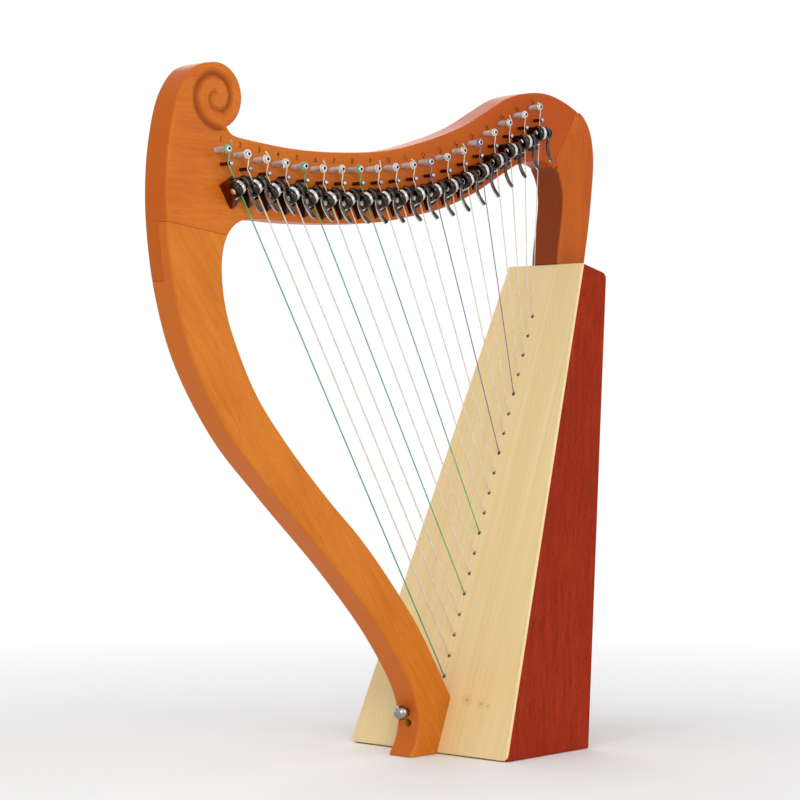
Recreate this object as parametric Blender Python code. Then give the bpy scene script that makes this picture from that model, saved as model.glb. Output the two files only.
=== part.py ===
"""A small lever harp: curved pillar with a scroll head, neck, soundbox and nineteen strings.

The design frame has its origin at the foot of the soundboard's front face, in the middle of its
width. X runs from the pillar to the soundbox, Z is up, and the strings and levers are on the -Y side.
"""
import math

import bmesh
import bpy
from mathutils import Matrix, Vector

MM = 0.001
OUTLINE_UNIT = 1 * MM           # of the points in the outline curves
CUTTER_REACH = 30 * MM          # how far a cutter runs past what it cuts
LAP_TOOL_HALF = 60 * MM         # half the thickness of the half lap's cutter
LAP_TOOL_REACH = 200 * MM       # of that cutter past the lap's ends

# Clearances
JOINT_GAP = 0.3 * MM            # between pieces that are glued or rest on each other
RUNNING_GAP = 0.3 * MM          # round a shaft that turns
STRING_GAP = 0.3 * MM           # between a string and the metal that it bears on
FUSE_DEPTH = 0.5 * MM           # how far a pin, a lever's plate or a knot is fused into its wood

# Soundbox
BOX_HEIGHT = 425 * MM           # of the soundboard's front edge at the top
BOARD_LEAN = math.radians(20.56)
BOARD_HALF_FOOT = 90.5 * MM     # half the soundboard's width at the foot
BOARD_HALF_TOP = 43.5 * MM
BOARD_THICKNESS = 3 * MM
BOARD_CORNER = 5 * MM
BOX_DEPTH_FOOT = 108 * MM       # square to the soundboard, at the back's lower corner
BOX_DEPTH_TOP = 35.5 * MM
BOX_TOP_TILT = math.radians(6.8)
SIDE_THICKNESS = 4 * MM
BACK_THICKNESS = 3.5 * MM
BOTTOM_THICKNESS = 8 * MM
PILLAR_BLOCK_HEIGHT = 50 * MM
PILLAR_BLOCK_DEPTH = 22 * MM
TOP_BLOCK_HEIGHT = 24 * MM
SOUND_HOLE_COUNT = 3
SOUND_HOLE_WIDTH = 48 * MM
SOUND_HOLE_HEIGHT = 62 * MM
SOUND_HOLE_FIRST = 110 * MM     # first hole's centre up the back
SOUND_HOLE_PITCH = 112 * MM
SOUND_HOLE_SHRINK = 0.78        # each hole against the one below it
RIB_WIDTH = 16 * MM
RIB_THICKNESS = 4 * MM
BRACE_COUNT = 3
BRACE_WIDTH = 7 * MM
BRACE_HEIGHT = 9 * MM

# Frame: pillar, neck and shoulder
FRAME_THICKNESS = 27 * MM
SHOULDER_THICKNESS = 32 * MM
SHOULDER_STEP = 7 * MM          # width of the sloping step between neck and shoulder faces
SHOULDER_BELOW = 25 * MM        # from the soundbox's top to where the block is sawn off its blank
EDGE_ROUND = 3 * MM
LAP_NEAR_SHARE = 0.4            # part of the thickness that the pillar's near cheek takes
LAP_ANGLE = math.radians(-7)    # slope of the half lap's shoulders
LAP_LENGTH = 44 * MM
JOINT_ANGLE = math.radians(57)
SCROLL_RADIUS = 26.2 * MM
SCROLL_START = math.radians(94.4)
SCROLL_END = math.radians(-66.4)
SCROLL_TURNS = 1.9
SCROLL_GROOVE = 2.6 * MM        # radius of the carved groove
SCROLL_GROOVE_DEPTH = 1.8 * MM
DOWEL_RADIUS = 4 * MM
DOWEL_LENGTH = 20 * MM
DOWEL_CHAMFER = 1 * MM
LAP_WIDTH = 68 * MM              # of the half lap, along its shoulders
JOINT_WIDTH = 60 * MM            # of the neck's end at the shoulder
TOP_DOWEL_DEPTH = 14 * MM        # behind the soundboard

# Strings
STRING_COUNT = 19
FIRST_HOLE = 67.4 * MM          # along the soundboard from its foot
LAST_HOLE_DROP = 50.6 * MM      # of the highest string hole below the soundboard's top
HOLE_RADIUS = 1.3 * MM
STRING_RADIUS_BASS = 0.6 * MM
STRING_RADIUS_TREBLE = 0.4 * MM
STRING_LIFT = 0.8 * MM          # of the bend over the soundboard's face
STRING_STANDOFF_BASS = 10.8 * MM    # from the neck's face to the string, at the bridge pin
STRING_STANDOFF_TREBLE = 8.2 * MM
COIL_OUT = 1.8 * MM             # how much further out the string meets its tuning pin
KNOT_RADIUS = 2.2 * MM
GREEN_STRINGS = (1, 5, 8)
VIOLET_STRINGS = (12, 15)

# Bridge pins and tuning pins
PIN_PITCH_BASS = 20.8 * MM
PIN_PITCH_TREBLE = 22.6 * MM
BRIDGE_PIN_RADIUS = 1.5 * MM
BRIDGE_HEAD_RADIUS = 2 * MM
BRIDGE_HEAD_LENGTH = 1.4 * MM
BRIDGE_HEAD_CLEAR = 0.6 * MM    # between the string and the bridge pin's head
TUNING_PIN_LEFT = 5.2 * MM      # of its bridge pin
TUNING_PIN_ABOVE = 11 * MM
TUNING_PIN_RADIUS = 2.4 * MM
TUNING_PIN_PROUD = 0.5 * MM     # of the near end over its winding
TUNING_PIN_BACK = 5 * MM        # round part behind the neck
KEY_SQUARE = 3.6 * MM
KEY_LENGTH = 10 * MM            # from the round part to the square end
WIND_TURNS_LEAST = 1.05
WIND_TURNS_STEP = 0.04
WIND_SPACE = 0.6 * MM           # clear space between neighbouring turns
WIND_POINTS = 9                 # points in one turn
TAIL_LENGTH = 6 * MM

# Levers
LEVER_DROP = 12 * MM            # from the bridge pin down the string
FIRST_LEVER_EXTRA = 6.5 * MM
LEVER_EXTRA_FADE = 0.2
AXLE_OVER_STRING = 4.2 * MM
AXLE_RADIUS = 1.6 * MM
AXLE_LEFT = -7 * MM
AXLE_RIGHT = 5.8 * MM
STRING_SLOT = 1.4 * MM          # half the slot that the string runs through
DRUM_RADIUS = 6.8 * MM
DRUM_LEFT = -9.4 * MM
DRUM_LENGTH = 4.2 * MM
DRUM_DOME = 0.8 * MM
BARREL_RADIUS = 3.6 * MM        # between the drum and the string's slot
HUB_THICKNESS = 2.5 * MM        # of the handle, on the right of the slot
CHEEK_RADIUS = 5.8 * MM
CHEEK_THICKNESS = 2.6 * MM
CHEEK_HALF_FOOT = 4.2 * MM
WEDGE_LEFT = -8.3 * MM
WEDGE_TOP = -6 * MM             # places along the string are measured down from the axle
WEDGE_END = 15.5 * MM
WEDGE_LOW = 0.3 * MM            # of the wedge's upper edge under the axle
WEDGE_FALL = 10.9 * MM
PLATE_TOP = -5.5 * MM
PLATE_END = 13.5 * MM
PLATE_LOW = 10.2 * MM           # of the plate's face under the axle
FRET_LOW = 6.2 * MM             # of the fret's top under the axle
FRET_START = 8.3 * MM
FRET_THICKNESS = 2 * MM
FRET_RIGHT = 4.4 * MM
FRET_SLOPE = 1.3 * MM           # of its cut corners
CAM_RADIUS = 3.2 * MM
CAM_FLAT = 2.4 * MM             # the cam's reach towards the string at rest
ARM_THICKNESS = 1.7 * MM

# Fittings of the foot
BUTTON_HEIGHT = 36.5 * MM
BUTTON_RADIUS = 6.4 * MM
BUTTON_SHANK_RADIUS = 2 * MM
BUTTON_SHANK_LENGTH = 10 * MM
SCREW_HEIGHT = 27 * MM
SCREW_HEAD_RADIUS = 3.3 * MM
SCREW_SHANK_RADIUS = 2.2 * MM
SCREW_HEAD_DEPTH = 9 * MM
SCREW_HEAD_LENGTH = 3 * MM
SCREW_BITE = 16 * MM            # of the shank in the pillar block

# Curves and points of the frame's outline, in outline units
BOARD_TOP_POINT = (159.408461, 425)    # the soundboard's top, which the neck and shoulder follow
NECK_LEVEL = 400                # what the curves have above this level moves as a whole
LAP_NEAR_POINT = (-308, 439)
JOINT_POINT = (155, 515)
SCROLL_CENTRE = (-252, 540)
FRONT_CURVE = [(-33.5, -12), (-32.5, 0), (-25.5, 12), (-21.5, 28), (-27.5, 52), (-60, 100), (-115, 158),
               (-185, 221.5), (-236, 271), (-276, 330), (-294.5, 380), (-303, 425), (-305.3, 465),
               (-302, 503), (-292.5, 538), (-278, 558), (-266, 563.8), (-254, 566.1)]
NECK_TOP_CURVE = [(-241.5, 516), (-236, 511), (-207, 507), (-163, 504.4), (-112, 505.8), (-59, 511.5),
                  (-11.5, 523.2), (37, 540), (70, 556.8), (97, 570), (127, 576.8), (150, 577.3),
                  (172, 572.5), (191, 564.5)]
SHOULDER_OUTER_CURVE = [(191, 564.5), (199, 558), (206, 547), (210, 530), (210.4, 516), (208, 492),
                        (203, 458), (197, 428), (193, 408)]
UNDER_CURVE = [(-246.3, 400), (-244.7, 420), (-238.5, 433.5), (-227, 442.5), (-209, 445.6),
               (-164, 445.4), (-119, 446.8), (-69, 450.5), (-35, 456.5), (12, 467.5), (52, 483),
               (82, 498.5), (107, 510.8), (128, 515.6), (148, 514.2)]
SHOULDER_INNER_CURVE = [(148, 514.2), (157.5, 509), (164, 497), (166, 484), (163.5, 461), (159.5, 440),
                        (157, 408)]
PILLAR_INNER_CURVE = [(42, 12), (17.5, 49), (-0.5, 78), (-21, 108.5), (-52.5, 146.5), (-91, 187),
                      (-130, 221.5), (-175, 265.5), (-208, 304), (-229.5, 341.5), (-241.5, 371),
                      (-246.3, 400)]
BRIDGE_PIN_CURVE = [(-249, 486), (-207, 480.8), (-144, 478), (-60, 484.8), (1, 496.8), (45, 513),
                    (85, 533.5), (130, 552.5)]
LEVER_ARM_CURVE = [(-5.6, -3.4), (-3.4, -0.4), (2, 0.6), (12, 1), (19.5, 3), (25.8, 6.5)]
LEVER_ARM_WIDTHS = [2.5, 2.5, 2.5, 2.7, 3.4, 4.6]

for old in list(bpy.data.objects):
    bpy.data.objects.remove(old)

scene = bpy.context.scene
harp = bpy.data.objects.new("harp", None)
scene.collection.objects.link(harp)

FRAME_HALF = FRAME_THICKNESS / 2
SHOULDER_HALF = SHOULDER_THICKNESS / 2
NEAR_FACE = -FRAME_HALF


# Materials
def material(name, colour, roughness, metallic=0.0):
    made = bpy.data.materials.new(name)
    made.use_nodes = True
    shader = made.node_tree.nodes["Principled BSDF"]
    shader.inputs["Base Color"].default_value = (*colour, 1)
    shader.inputs["Roughness"].default_value = roughness
    shader.inputs["Metallic"].default_value = metallic
    return made


# Meshes
def as_object(name, bm, surface=None, smooth=False):
    """Turn a bmesh into a named object under the harp's parent."""
    bmesh.ops.recalc_face_normals(bm, faces=bm.faces)
    mesh = bpy.data.meshes.new(name)
    bm.to_mesh(mesh)
    bm.free()
    made = bpy.data.objects.new(name, mesh)
    scene.collection.objects.link(made)
    made.parent = harp
    if surface is not None:
        mesh.materials.append(surface)
    if smooth:
        mesh.shade_smooth()
        mesh.set_sharp_from_angle(angle=math.radians(40))
    return made


def mesh_tool(name, mesh):
    """A mesh that isn't welded yet, such as a curve's tube, as a closed object."""
    bm = bmesh.new()
    bm.from_mesh(mesh)
    bmesh.ops.remove_doubles(bm, verts=bm.verts, dist=1e-7)
    return as_object(name, bm)


def closed_volume(mesh):
    """Volume of a closed mesh, or zero if it isn't closed."""
    bm = bmesh.new()
    bm.from_mesh(mesh)
    closed = all(len(edge.link_faces) == 2 for edge in bm.edges)
    volume = abs(bm.calc_volume()) if closed else 0.0
    bm.free()
    return volume


def combine(target, tool, operation, keep=False):
    """Cut the tool out of the target, or join it on.

    Where edges nearly meet, the solver can lose a body. A result that isn't closed or that has
    lost too much is made again with both meshes a little off their place, and moved back.
    """
    own = closed_volume(target.data)
    other = closed_volume(tool.data)
    least = own - other if operation == 'DIFFERENCE' else max(own, other)
    step = Vector((0.37, 0.23, 0.31)) * MM
    for tries in range(6):
        cutter = target.modifiers.new(operation.title(), 'BOOLEAN')
        cutter.operation = operation
        cutter.solver = 'EXACT'
        cutter.object = tool
        depsgraph = bpy.context.evaluated_depsgraph_get()
        result = bpy.data.meshes.new_from_object(target.evaluated_get(depsgraph))
        target.modifiers.clear()
        if closed_volume(result) > 0.999 * least:
            break
        target.data.transform(Matrix.Translation(step))
        tool.data.transform(Matrix.Translation(step))
    result.transform(Matrix.Translation(-step * tries))
    target.data = result
    if keep:
        tool.data.transform(Matrix.Translation(-step * tries))
    else:
        bpy.data.objects.remove(tool)


def trim(bm, point, normal):
    """Remove what lies on the normal's side of a plane and close the cut."""
    parts = bm.verts[:] + bm.edges[:] + bm.faces[:]
    found = bmesh.ops.bisect_plane(bm, geom=parts, dist=1e-7, plane_co=point, plane_no=normal,
                                   clear_outer=True)
    edges = [item for item in found["geom_cut"] if isinstance(item, bmesh.types.BMEdge)]
    bmesh.ops.contextual_create(bm, geom=edges)


def loft(bm, rings, closed_ends=True):
    """Join rings of equal point counts with faces; returns nothing."""
    rows = []
    for ring in rings:
        rows.append([bm.verts.new(point) for point in ring])
    count = len(rows[0])
    for lower, upper in zip(rows, rows[1:]):
        for i in range(count):
            j = (i + 1) % count
            bm.faces.new((lower[i], lower[j], upper[j], upper[i]))
    if closed_ends:
        bm.faces.new(list(reversed(rows[0])))
        bm.faces.new(rows[-1])


def turned(bm, origin, axis, side, profile, count, phase=0.0):
    """A round body: (distance along the axis, radius) pairs turned round the axis."""
    along = axis.normalized()
    across = side.normalized()
    other = along.cross(across)
    rings = []
    for distance, radius in profile:
        ring = []
        for i in range(count):
            angle = phase + 2 * math.pi * i / count
            ring.append(origin + along * distance
                        + (across * math.cos(angle) + other * math.sin(angle)) * radius)
        rings.append(ring)
    loft(bm, rings)


def prism(bm, outline, offset):
    """A closed body from a polygon in space and its copy moved by the offset."""
    loft(bm, [outline, [point + offset for point in outline]])


def merge_flat(mesh):
    """Join neighbouring faces that lie in one plane."""
    bm = bmesh.new()
    bm.from_mesh(mesh)
    bmesh.ops.dissolve_limit(bm, angle_limit=math.radians(0.5), verts=bm.verts, edges=bm.edges)
    bm.to_mesh(mesh)
    bm.free()


# Curves in the plane of the frame
board_top = Vector((BOX_HEIGHT * math.tan(BOARD_LEAN), BOX_HEIGHT))
board_top_shift = board_top - Vector(BOARD_TOP_POINT) * OUTLINE_UNIT


def drawn(point):
    """A point of the outline: the neck follows the soundbox's top and the pillar stretches."""
    return Vector(point) * OUTLINE_UNIT + board_top_shift * min(1, point[1] / NECK_LEVEL)


def spline(points, tolerance=0.3 * MM, steps=14):
    """Points of the outline joined by a centripetal curve, thinned to what its bends need."""
    knots = [drawn(point) for point in points]
    knots = [knots[0] * 2 - knots[1]] + knots + [knots[-1] * 2 - knots[-2]]
    dense = []
    for a, b, c, d in zip(knots, knots[1:], knots[2:], knots[3:]):
        t0 = 0.0
        t1 = t0 + math.sqrt((b - a).length)
        t2 = t1 + math.sqrt((c - b).length)
        t3 = t2 + math.sqrt((d - c).length)
        for i in range(steps):
            t = t1 + (t2 - t1) * i / steps
            ab = a * ((t1 - t) / (t1 - t0)) + b * ((t - t0) / (t1 - t0))
            bc = b * ((t2 - t) / (t2 - t1)) + c * ((t - t1) / (t2 - t1))
            cd = c * ((t3 - t) / (t3 - t2)) + d * ((t - t2) / (t3 - t2))
            abc = ab * ((t2 - t) / (t2 - t0)) + bc * ((t - t0) / (t2 - t0))
            bcd = bc * ((t3 - t) / (t3 - t1)) + cd * ((t - t1) / (t3 - t1))
            dense.append(abc * ((t2 - t) / (t2 - t1)) + bcd * ((t - t1) / (t2 - t1)))
    dense.append(knots[-2])
    return thinned(dense, tolerance)


def thinned(points, tolerance):
    """Leave out the points that lie within the tolerance of the line between their neighbours."""
    first = points[0]
    last = points[-1]
    line = last - first
    if line.length < 1e-9:
        gaps = [(point - first).length for point in points]
    else:
        gaps = [abs((point - first).cross(line)) / line.length for point in points]
    worst = max(range(len(points)), key=lambda i: gaps[i])
    if gaps[worst] <= tolerance or len(points) < 3:
        return [first, last]
    return thinned(points[:worst + 1], tolerance)[:-1] + thinned(points[worst:], tolerance)


scroll_centre = drawn(SCROLL_CENTRE)


def scroll_arc():
    """The scroll's rim from the top of the pillar round to the notch on the neck."""
    steps = 15
    rim = []
    for i in range(1, steps):
        angle = SCROLL_START + (SCROLL_END - SCROLL_START) * i / steps
        rim.append(scroll_centre + Vector((math.cos(angle), math.sin(angle))) * SCROLL_RADIUS)
    return rim


front = spline(FRONT_CURVE)
crest = spline(NECK_TOP_CURVE + SHOULDER_OUTER_CURVE[1:])
inner = spline(PILLAR_INNER_CURVE + UNDER_CURVE[1:] + SHOULDER_INNER_CURVE[1:])
frame_outline = front + scroll_arc() + crest + list(reversed(inner))

# The whole harp is moved so that the middle of its outline is at x = 0
foremost = min(point.x for point in frame_outline)
rearmost = max(point.x for point in frame_outline)
harp.location = (-(foremost + rearmost) / 2, 0, 0)


def in_space(point, y):
    return Vector((point[0], y, point[1]))


def rounded_blank(bm, outline, half_thickness):
    """The frame's outline as a board with rounded rims on both faces."""
    count = len(outline)
    inward = []
    for i in range(count):
        before = (outline[i] - outline[i - 1]).normalized()
        after = (outline[(i + 1) % count] - outline[i]).normalized()
        mean = (before + after).normalized()
        inward.append(Vector((mean.y, -mean.x)) / max(0.4, mean.dot(before)))
    levels = []
    for part in (0, 1, 2):
        turn = math.radians(90 - 45 * part)
        levels.append((EDGE_ROUND * (1 - math.cos(turn)),
                       -half_thickness + EDGE_ROUND * (1 - math.sin(turn))))
    levels += [(inset, -y) for inset, y in reversed(levels)]
    rings = []
    for inset, y in levels:
        rings.append([in_space(point + side * inset, y) for point, side in zip(outline, inward)])
    loft(bm, rings)


# The soundbox's own frame: s up the soundboard, y across, d square to it into the box
UP_BOARD = Vector((math.sin(BOARD_LEAN), 0, math.cos(BOARD_LEAN)))
INTO_BOX = Vector((math.cos(BOARD_LEAN), 0, -math.sin(BOARD_LEAN)))
ACROSS = Vector((0, 1, 0))
BOARD_LENGTH = BOX_HEIGHT / math.cos(BOARD_LEAN)
FOOT_SLOPE = math.tan(BOARD_LEAN)
TOP_SLOPE = math.tan(BOX_TOP_TILT)
BACK_SLOPE = (BOX_DEPTH_TOP - BOX_DEPTH_FOOT) / (
    BOARD_LENGTH + BOX_DEPTH_TOP * TOP_SLOPE - BOX_DEPTH_FOOT * FOOT_SLOPE)
BACK_START = BOX_DEPTH_FOOT * (1 - BACK_SLOPE * FOOT_SLOPE)
HOLE_PITCH = (BOARD_LENGTH - LAST_HOLE_DROP - FIRST_HOLE) / (STRING_COUNT - 1)


def box_point(s, y, d):
    return UP_BOARD * s + ACROSS * y + INTO_BOX * d


def flat_point(s, y, d):
    """The same place while the board lies flat; stand_up moves it to where box_point puts it."""
    return Vector((y, s, d))


stand_up = Matrix((ACROSS, UP_BOARD, INTO_BOX)).transposed().to_4x4()


def half_width(s):
    return BOARD_HALF_FOOT + (BOARD_HALF_TOP - BOARD_HALF_FOOT) * s / BOARD_LENGTH


def foot_at(d, lift=0.0):
    """Place s of the ground plane, or of a level above it, at a depth."""
    return d * FOOT_SLOPE + lift / math.cos(BOARD_LEAN)


def top_at(d, drop=0.0):
    return BOARD_LENGTH + d * TOP_SLOPE - drop / math.cos(BOX_TOP_TILT)


def back_depth(offset):
    """Depth of the back's line at s = 0, moved into the box by the offset."""
    return BACK_START - offset * math.hypot(1, BACK_SLOPE)


def foot_corner(offset, lift=0.0):
    d = (back_depth(offset) + BACK_SLOPE * lift / math.cos(BOARD_LEAN)) / (1 - BACK_SLOPE * FOOT_SLOPE)
    return foot_at(d, lift), d


def top_corner(offset, drop=0.0):
    rise = BOARD_LENGTH - drop / math.cos(BOX_TOP_TILT)
    d = (back_depth(offset) + BACK_SLOPE * rise) / (1 - BACK_SLOPE * TOP_SLOPE)
    return top_at(d, drop), d


def box_piece(bm, corners, left, right, place=box_point):
    """A body from (s, d) corners; left and right give y for a place s."""
    near = [place(s, left(s), d) for s, d in corners]
    far = [place(s, right(s), d) for s, d in corners]
    loft(bm, [near, far])


# Where the strings run
def walk_curve(points, lengths):
    """Points at the given distances along a curve, measured from its start."""
    line = spline(points, tolerance=0.01 * MM, steps=40)
    found = []
    for wanted in lengths:
        run = 0.0
        for a, b in zip(line, line[1:]):
            piece = (b - a).length
            if run + piece >= wanted or b == line[-1]:
                found.append(a + (b - a) * ((wanted - run) / piece))
                break
            run += piece
    return found


pitches = []
for step in range(STRING_COUNT - 1):
    share = step / (STRING_COUNT - 2)
    pitches.append(PIN_PITCH_BASS + (PIN_PITCH_TREBLE - PIN_PITCH_BASS) * share)
bridge_pins_at = walk_curve(BRIDGE_PIN_CURVE, [sum(pitches[:i]) for i in range(STRING_COUNT)])
tuning_pins_at = [point + Vector((-TUNING_PIN_LEFT, TUNING_PIN_ABOVE)) for point in bridge_pins_at]


def string_radius(index):
    share = index / (STRING_COUNT - 1)
    return STRING_RADIUS_BASS + (STRING_RADIUS_TREBLE - STRING_RADIUS_BASS) * share


def string_colour(index):
    if index + 1 in GREEN_STRINGS:
        return "green"
    if index + 1 in VIOLET_STRINGS:
        return "violet"
    return "clear"


def hole_place(index):
    return FIRST_HOLE + HOLE_PITCH * index


def string_y(index):
    """The string's plane at its bridge pin."""
    share = index / (STRING_COUNT - 1)
    return NEAR_FACE - STRING_STANDOFF_BASS - (STRING_STANDOFF_TREBLE - STRING_STANDOFF_BASS) * share


def winding(index):
    """Turns on the tuning pin and the winding's pitch."""
    turns = WIND_TURNS_LEAST + WIND_TURNS_STEP * ((index * 7) % 11)
    return turns, 2 * string_radius(index) + WIND_SPACE


def string_route(index):
    """Points and radii of one string from its knot to its free tail."""
    radius = string_radius(index)
    s = hole_place(index)
    seat = -FUSE_DEPTH if string_colour(index) == "clear" else JOINT_GAP
    knot = BOARD_THICKNESS + JOINT_GAP + RIB_THICKNESS + seat + KNOT_RADIUS
    route = []
    for depth, size in ((knot + KNOT_RADIUS, 0.6 * KNOT_RADIUS), (knot, KNOT_RADIUS),
                        (knot - KNOT_RADIUS, 0.85 * KNOT_RADIUS), (knot - 1.2 * KNOT_RADIUS, radius)):
        route.append((box_point(s, 0, depth), size))
    bend = box_point(s, 0, -STRING_LIFT)
    start = Vector((bend.x, bend.z))
    pin = bridge_pins_at[index]
    peg = tuning_pins_at[index]
    pin_reach = BRIDGE_PIN_RADIUS + STRING_GAP + radius
    peg_reach = TUNING_PIN_RADIUS + STRING_GAP + radius

    # the straight part touches the bridge pin's left side
    to_pin = pin - start
    heading = math.atan2(to_pin.y, to_pin.x) + math.asin(pin_reach / to_pin.length)
    run = math.sqrt(to_pin.length_squared - pin_reach ** 2)
    touch = start + Vector((math.cos(heading), math.sin(heading))) * run
    route.append((bend, radius))
    plane = string_y(index)
    direction = in_space(touch, plane) - bend
    route.append((bend + direction.normalized() * 2 * MM, radius))

    # round the pin, clockwise, and over to the right side of the tuning pin
    to_peg = peg - pin
    cross = math.atan2(to_peg.y, to_peg.x) - math.asin((pin_reach + peg_reach) / to_peg.length)
    for angle in (heading + math.pi / 2, cross + math.pi / 2):
        spot = pin + Vector((math.cos(angle), math.sin(angle))) * pin_reach
        route.append((in_space(spot, plane), radius))

    # round the tuning pin, counterclockwise, moving out towards its tip
    turns, pitch = winding(index)
    points = math.ceil(turns * WIND_POINTS)
    for i in range(points + 1):
        turn = turns * i / points
        angle = cross - math.pi / 2 + 2 * math.pi * turn
        spot = peg + Vector((math.cos(angle), math.sin(angle))) * peg_reach
        route.append((in_space(spot, plane - COIL_OUT - pitch * turn), radius))
    last = route[-1][0]
    leave = cross + 2 * math.pi * turns
    tail = Vector((math.cos(leave), -0.25, math.sin(leave))).normalized()
    route.append((last + tail * TAIL_LENGTH, radius))
    return route, heading, run, touch


routes = [string_route(index) for index in range(STRING_COUNT)]

# Frame: three pieces of one outline, cut at the half lap and at the shoulder joint
oiled_beech = material("frame_wood", (0.52, 0.19, 0.05), 0.35)
pillar_wood = material("pillar_wood", (0.55, 0.22, 0.07), 0.35)
shoulder_wood = material("shoulder_wood", (0.42, 0.13, 0.04), 0.35)

lap_along = Vector((math.cos(LAP_ANGLE), 0, math.sin(LAP_ANGLE)))
lap_down = Vector((math.sin(LAP_ANGLE), 0, -math.cos(LAP_ANGLE)))
lap_point = in_space(drawn(LAP_NEAR_POINT), 0)
lap_cheek = NEAR_FACE + LAP_NEAR_SHARE * FRAME_THICKNESS
joint_along = Vector((math.cos(JOINT_ANGLE), 0, math.sin(JOINT_ANGLE)))
joint_out = Vector((math.sin(JOINT_ANGLE), 0, -math.cos(JOINT_ANGLE)))
joint_point = in_space(drawn(JOINT_POINT), 0)


def lap_step(name, gap, upward):
    """A stepped block that fills all above or below the lap's joint, less the gap."""
    sign = -1 if upward else 1
    near_edge = sign * gap
    far_edge = LAP_LENGTH + sign * gap
    cheek = lap_cheek - sign * gap
    side = LAP_TOOL_HALF
    end = sign * (rearmost - foremost + LAP_TOOL_REACH)
    corners = [(near_edge, -side), (end, -side), (end, side), (far_edge, side), (far_edge, cheek),
               (near_edge, cheek)]
    start = lap_point - lap_along * LAP_TOOL_REACH
    outline = [start + lap_down * down + ACROSS * y for down, y in corners]
    bm = bmesh.new()
    prism(bm, outline, lap_along * (rearmost - foremost + 2 * LAP_TOOL_REACH))
    return as_object(name, bm)


def frame_piece(name, surface, half_thickness, lap_tool, planes):
    """A piece of the frame: the rounded blank cut by the lap's step, then by planes."""
    blank = bmesh.new()
    rounded_blank(blank, frame_outline, half_thickness)
    piece = as_object(name, blank, surface)
    combine(piece, lap_tool, 'DIFFERENCE')
    blank = bmesh.new()
    blank.from_mesh(piece.data)
    for point, normal in planes:
        trim(blank, point, normal)
    bmesh.ops.recalc_face_normals(blank, faces=blank.faces)
    blank.to_mesh(piece.data)
    blank.free()
    return piece


neck = frame_piece("neck", oiled_beech, FRAME_HALF, lap_step("lap_tool", -JOINT_GAP / 2, False),
                   [(joint_point - joint_out * JOINT_GAP / 2, joint_out)])
pillar = frame_piece("pillar", pillar_wood, FRAME_HALF, lap_step("lap_tool", -JOINT_GAP / 2, True),
                     [(Vector((0, 0, 0)), Vector((0, 0, -1))), (-INTO_BOX * JOINT_GAP, INTO_BOX)])

bm = bmesh.new()
rounded_blank(bm, frame_outline, SHOULDER_HALF)
trim(bm, Vector((0, 0, BOX_HEIGHT - SHOULDER_BELOW)), Vector((0, 0, -1)))
trim(bm, joint_point + joint_out * JOINT_GAP / 2, -joint_out)
top_plane_out = (UP_BOARD - INTO_BOX * TOP_SLOPE).normalized()
trim(bm, box_point(BOARD_LENGTH, 0, 0) + top_plane_out * JOINT_GAP, -top_plane_out)
parts = bm.verts[:] + bm.edges[:] + bm.faces[:]
bmesh.ops.bisect_plane(bm, geom=parts, dist=1e-7, plane_co=joint_point + joint_out * SHOULDER_STEP,
                       plane_no=joint_out)
for vert in bm.verts:
    past = (vert.co - joint_point).dot(joint_out)
    if past < SHOULDER_STEP / 2:
        vert.co.y *= FRAME_HALF / SHOULDER_HALF
shoulder_block = as_object("shoulder_block", bm, shoulder_wood)


def round_tool(name, bodies):
    """One cutter made of separate round bodies: (origin, axis, side, profile, count, phase)."""
    tool_mesh = bmesh.new()
    for origin, axis, side, profile, count, phase in bodies:
        turned(tool_mesh, origin, axis, side, profile, count, phase)
    return as_object(name, tool_mesh)


RIGHT = Vector((1, 0, 0))
UP = Vector((0, 0, 1))

# Bores for the tuning pins
PIN_SIDES = 8
BRIDGE_PIN_SIDES = 6
HALF_SIDE = math.pi / PIN_SIDES
bodies = []
for peg in tuning_pins_at:
    bore = (TUNING_PIN_RADIUS + RUNNING_GAP) / math.cos(HALF_SIDE)
    profile = [(-CUTTER_REACH, bore), (CUTTER_REACH, bore)]
    bodies.append((in_space(peg, 0), ACROSS, RIGHT, profile, PIN_SIDES, HALF_SIDE))
combine(neck, round_tool("bore_tool", bodies), 'DIFFERENCE')

# Carved spiral of the scroll, on both faces
spiral = []
SPIRAL_STEPS = 20
for i in range(SPIRAL_STEPS + 1):
    share = i / SPIRAL_STEPS
    angle = SCROLL_END - math.radians(4) - 2 * math.pi * SCROLL_TURNS * share
    reach = SCROLL_RADIUS * (1.06 - 0.86 * share ** 0.85)
    spiral.append(scroll_centre + Vector((math.cos(angle), math.sin(angle))) * reach)
for side in (-1, 1):
    bm = bmesh.new()
    rings = []
    for i, spot in enumerate(spiral):
        before = spiral[max(0, i - 1)]
        after = spiral[min(SPIRAL_STEPS, i + 1)]
        across = (after - before).normalized()
        across = Vector((-across.y, 0, across.x))
        width = SCROLL_GROOVE * (1 - 0.45 * i / SPIRAL_STEPS)
        sunk = SCROLL_GROOVE_DEPTH * (1 - 0.3 * i / SPIRAL_STEPS)
        centre = in_space(spot, side * (FRAME_HALF + SCROLL_GROOVE - sunk))
        outward = ACROSS * side
        rings.append([centre + outward * SCROLL_GROOVE - across * width * 1.3,
                      centre - across * width * 0.9,
                      centre - outward * SCROLL_GROOVE,
                      centre + across * width * 0.9,
                      centre + outward * SCROLL_GROOVE + across * width * 1.3])
    loft(bm, rings)
    combine(neck, as_object("scroll_tool", bm), 'DIFFERENCE')

# Soundbox
spruce = material("soundboard_wood", (0.8, 0.6, 0.32), 0.4)
mahogany = material("side_wood", (0.28, 0.05, 0.02), 0.38)
back_wood = material("back_wood", (0.3, 0.06, 0.025), 0.4)
inner_wood = material("inner_wood", (0.6, 0.42, 0.22), 0.7)
block_wood = material("block_wood", (0.5, 0.32, 0.15), 0.7)

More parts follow.
